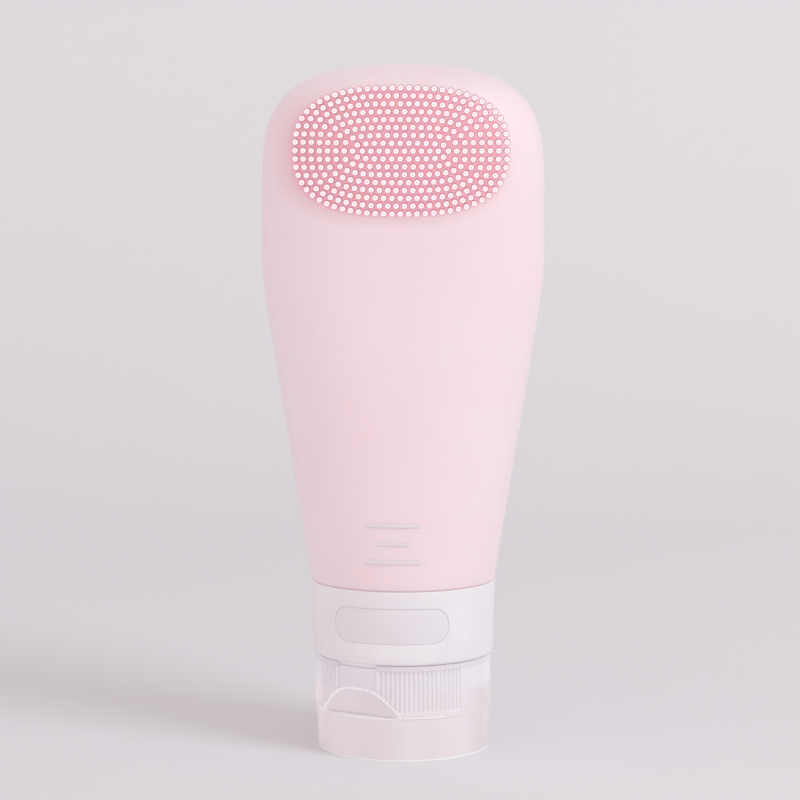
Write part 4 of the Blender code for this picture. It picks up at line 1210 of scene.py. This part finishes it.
lid_radius = lid_high.x
lid_rim = cap_bottom - SEAM_GAP
lid_foot_radius = lid_radius - LID_TAPER
plug_top = valve_low.z
plug_outer = ORIFICE_RADIUS - JOINT_GAP
lid_cup = turn("lid_cup", [
    (0.0, 0.0), *rounded(lid_foot_radius, 0.0, LID_EDGE_ROUND, DOWN),
    (lid_foot_radius, LID_EDGE_ROUND + LID_EDGE_BAND), (lid_radius - LID_TAPER / 3.0, lid_rim * 2.0 / 3.0),
    (lid_radius, lid_rim - LID_RIM_EDGE - LID_EDGE_BAND),
    *rounded(lid_radius, lid_rim, LID_RIM_EDGE, OUT),
    (lid_radius - LID_WALL - LID_LEDGE_REACH, lid_rim),
    (lid_radius - LID_WALL - LID_LEDGE_REACH, lid_rim - LID_LEDGE_DEPTH / 2.0),
    (lid_radius - LID_WALL, lid_rim - LID_LEDGE_DEPTH - LID_LEDGE_REACH / 2.0),
    (lid_foot_radius - LID_WALL, LID_FLOOR + LID_EDGE_ROUND / 2.0),
    (lid_foot_radius - LID_WALL - LID_EDGE_ROUND / 2.0, LID_FLOOR), (plug_outer, LID_FLOOR),
    (plug_outer, plug_top - PLUG_WALL / 2.0), (plug_outer - PLUG_WALL / 2.0, plug_top),
    (plug_outer - PLUG_WALL, plug_top), (plug_outer - PLUG_WALL, LID_FLOOR), (0.0, LID_FLOOR)], LID_COLUMNS)
join_with(lid_cup, hinge_seat(), "DIFFERENCE")
smooth(lid_cup)
lid_edge_top = LID_EDGE_ROUND + LID_EDGE_BAND / 2.0
# A painted highlight on the lid's foot band, and painted highlights and shade on its other edges
mark_edges(lid_cup, lambda corner, angle: 1.0 if corner.co.z < lid_edge_top else angle)
lid_cup.data.materials.append(clear_plastic)
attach(lid_cup, "lid")
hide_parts("flip_lid")

film_distance = hinge_distance - HINGE_SETBACK + JOINT_GAP + FILM_THICKNESS / 2.0
film_width = HINGE_WIDTH - 2.0 * JOINT_GAP
film_centre = (0.0, -film_distance, hinge_height)
living_hinge = upright_sheet(FILM_COLUMNS, FILM_ROWS, film_centre, film_width, 2.0 * FILM_HALF_HEIGHT)
living_hinge.name = "living_hinge"
apply_modifier(living_hinge, "SOLIDIFY", thickness=FILM_THICKNESS, offset=0.0)
bpy.ops.object.mode_set(mode="EDIT")
select_corners(living_hinge, lambda corner: abs(corner.co.z - hinge_height) < FILM_WEB_HALF_HEIGHT)
resize((1.0, FILM_WEB_SHARE, 1.0), film_centre)
bpy.ops.object.mode_set(mode="OBJECT")
living_hinge.rotation_euler.z = hinge_azimuth
settle()
smooth(living_hinge)
# Its edges get painted highlights and shade in the clear plastic
mark_edges(living_hinge)
living_hinge.data.materials.append(clear_plastic)
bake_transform(living_hinge)
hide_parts("hinge_film")


# Floor and backdrop
# One sheet of pale studio paper that lies flat under the bottle and curves up behind it, wide enough
# to fill the picture.

SHEET_HALF_WIDTH = 1.6
SHEET_BACK = 0.75
SHEET_TOP = 1.6
SHEET_CURVE = 0.45
SHEET_CURVE_STEPS = 32
SHEET_SHADE_START, SHEET_SHADE_END = 0.01, 0.35

paper_sheet = add_shape(bpy.ops.mesh.primitive_plane_add, size=2.0 * SHEET_HALF_WIDTH,
                        location=(0.0, SHEET_BACK - SHEET_HALF_WIDTH, 0.0))
paper_sheet.name = "paper_sheet"
settle()
bpy.ops.object.mode_set(mode="EDIT")


def at_back_edge(corner):
    return corner.co.y > SHEET_BACK - SHEET_CURVE and corner.co.z < SHEET_CURVE


select_corners(paper_sheet, at_back_edge)
extrude((0.0, 0.0, SHEET_TOP))
select_corners(paper_sheet, at_back_edge)
bpy.ops.mesh.bevel(offset=SHEET_CURVE, segments=SHEET_CURVE_STEPS, affect="EDGES")
bpy.ops.object.mode_set(mode="OBJECT")
bpy.ops.object.shade_smooth()


def pale_paper():
    """Matt paper with a faint grain, a shade darker where it rises behind the bottle."""
    material, tree, shader, place = new_material("pale_paper", (0.86, 0.843, 0.865),
                                                 grain=0.0008, grain_height=0.00001)
    tone = uneven(tree, place, (0.85, 0.833, 0.855), (0.86, 0.843, 0.865), size=0.25)
    rise = remap(tree, along_axis(tree, place, "Z"), SHEET_SHADE_START, SHEET_SHADE_END, easing="SMOOTHSTEP")
    set_inputs(shader, {"Base Color": mixed(tree, rise, tone, (0.79, 0.777, 0.799)), "Roughness": 0.9,
                        "Specular IOR Level": 0.1})
    return material


paper_sheet.data.materials.append(pale_paper())


# Lights
# The bottle stands in a pale light tent, which lights it nearly alike from all sides. A soft lamp
# to the right in front gives it a brighter side and the faint shadow behind it to the left, and a
# weak one to the left fills in.

LAMP_AIM = Vector((0.0, 0.0, 0.07))
TENT_WALL_TOP, TENT_CROWN = 0.1, 1.0
TENT_WALL_LIGHT, TENT_CROWN_LIGHT = 1.215, 0.36


def soft_lamp(name, azimuth, elevation, distance, size, power, colour):
    """A square lamp that faces the bottle, placed by its angles round it."""
    lamp = bpy.data.lights.new(name, "AREA")
    lamp.shape = "SQUARE"
    lamp.size = size
    lamp.energy = power
    lamp.color = colour
    holder = bpy.data.objects.new(name, lamp)
    way = towards(math.radians(azimuth), math.radians(elevation))
    holder.location = LAMP_AIM + way * distance
    holder.rotation_euler = way.to_track_quat("Z", "Y").to_euler()
    bpy.context.scene.collection.objects.link(holder)


soft_lamp("key_lamp", azimuth=54.0, elevation=38.0, distance=1.1, size=0.4, power=3.45,
          colour=(0.87, 1.0, 0.995))
soft_lamp("fill_lamp", azimuth=-50.0, elevation=4.0, distance=1.2, size=0.8, power=0.9,
          colour=(1.0, 0.89, 0.90))

# The tent's walls are brighter than its top
room = bpy.data.worlds.new("room")
room.use_nodes = True
tent = room.node_tree
upwards = along_axis(tent, add_node(tent, "TexCoord").outputs["Generated"], "Z")
set_inputs(tent.nodes["Background"], {
    "Color": (1.0, 0.947, 0.957),
    "Strength": remap(tent, upwards, TENT_WALL_TOP, TENT_CROWN, TENT_WALL_LIGHT, TENT_CROWN_LIGHT)})
bpy.context.scene.world = room
bpy.context.scene.view_settings.view_transform = "Standard"


# Camera
# It stands about as high as the bottle's crown, slightly to the right, and looks down at it by a
# few degrees.

CAMERA_AZIMUTH = math.radians(1.7)
CAMERA_DISTANCE = 0.626
CAMERA_HEIGHT = 0.1374
CAMERA_PITCH = math.radians(6.0)
CAMERA_ASIDE = 0.00064
CAMERA_LENS = 138.1
CAMERA_SENSOR = 36.0

camera = bpy.data.cameras.new("camera")
camera.lens = CAMERA_LENS
camera.sensor_width = CAMERA_SENSOR
camera_holder = bpy.data.objects.new("camera", camera)
to_right = towards(CAMERA_AZIMUTH + math.pi / 2.0)
camera_holder.location = (towards(CAMERA_AZIMUTH) * CAMERA_DISTANCE - to_right * CAMERA_ASIDE
                          + Vector((0.0, 0.0, CAMERA_HEIGHT)))
camera_holder.rotation_euler = (math.pi / 2.0 - CAMERA_PITCH, 0.0, CAMERA_AZIMUTH)
bpy.context.scene.collection.objects.link(camera_holder)
bpy.context.scene.camera = camera_holder
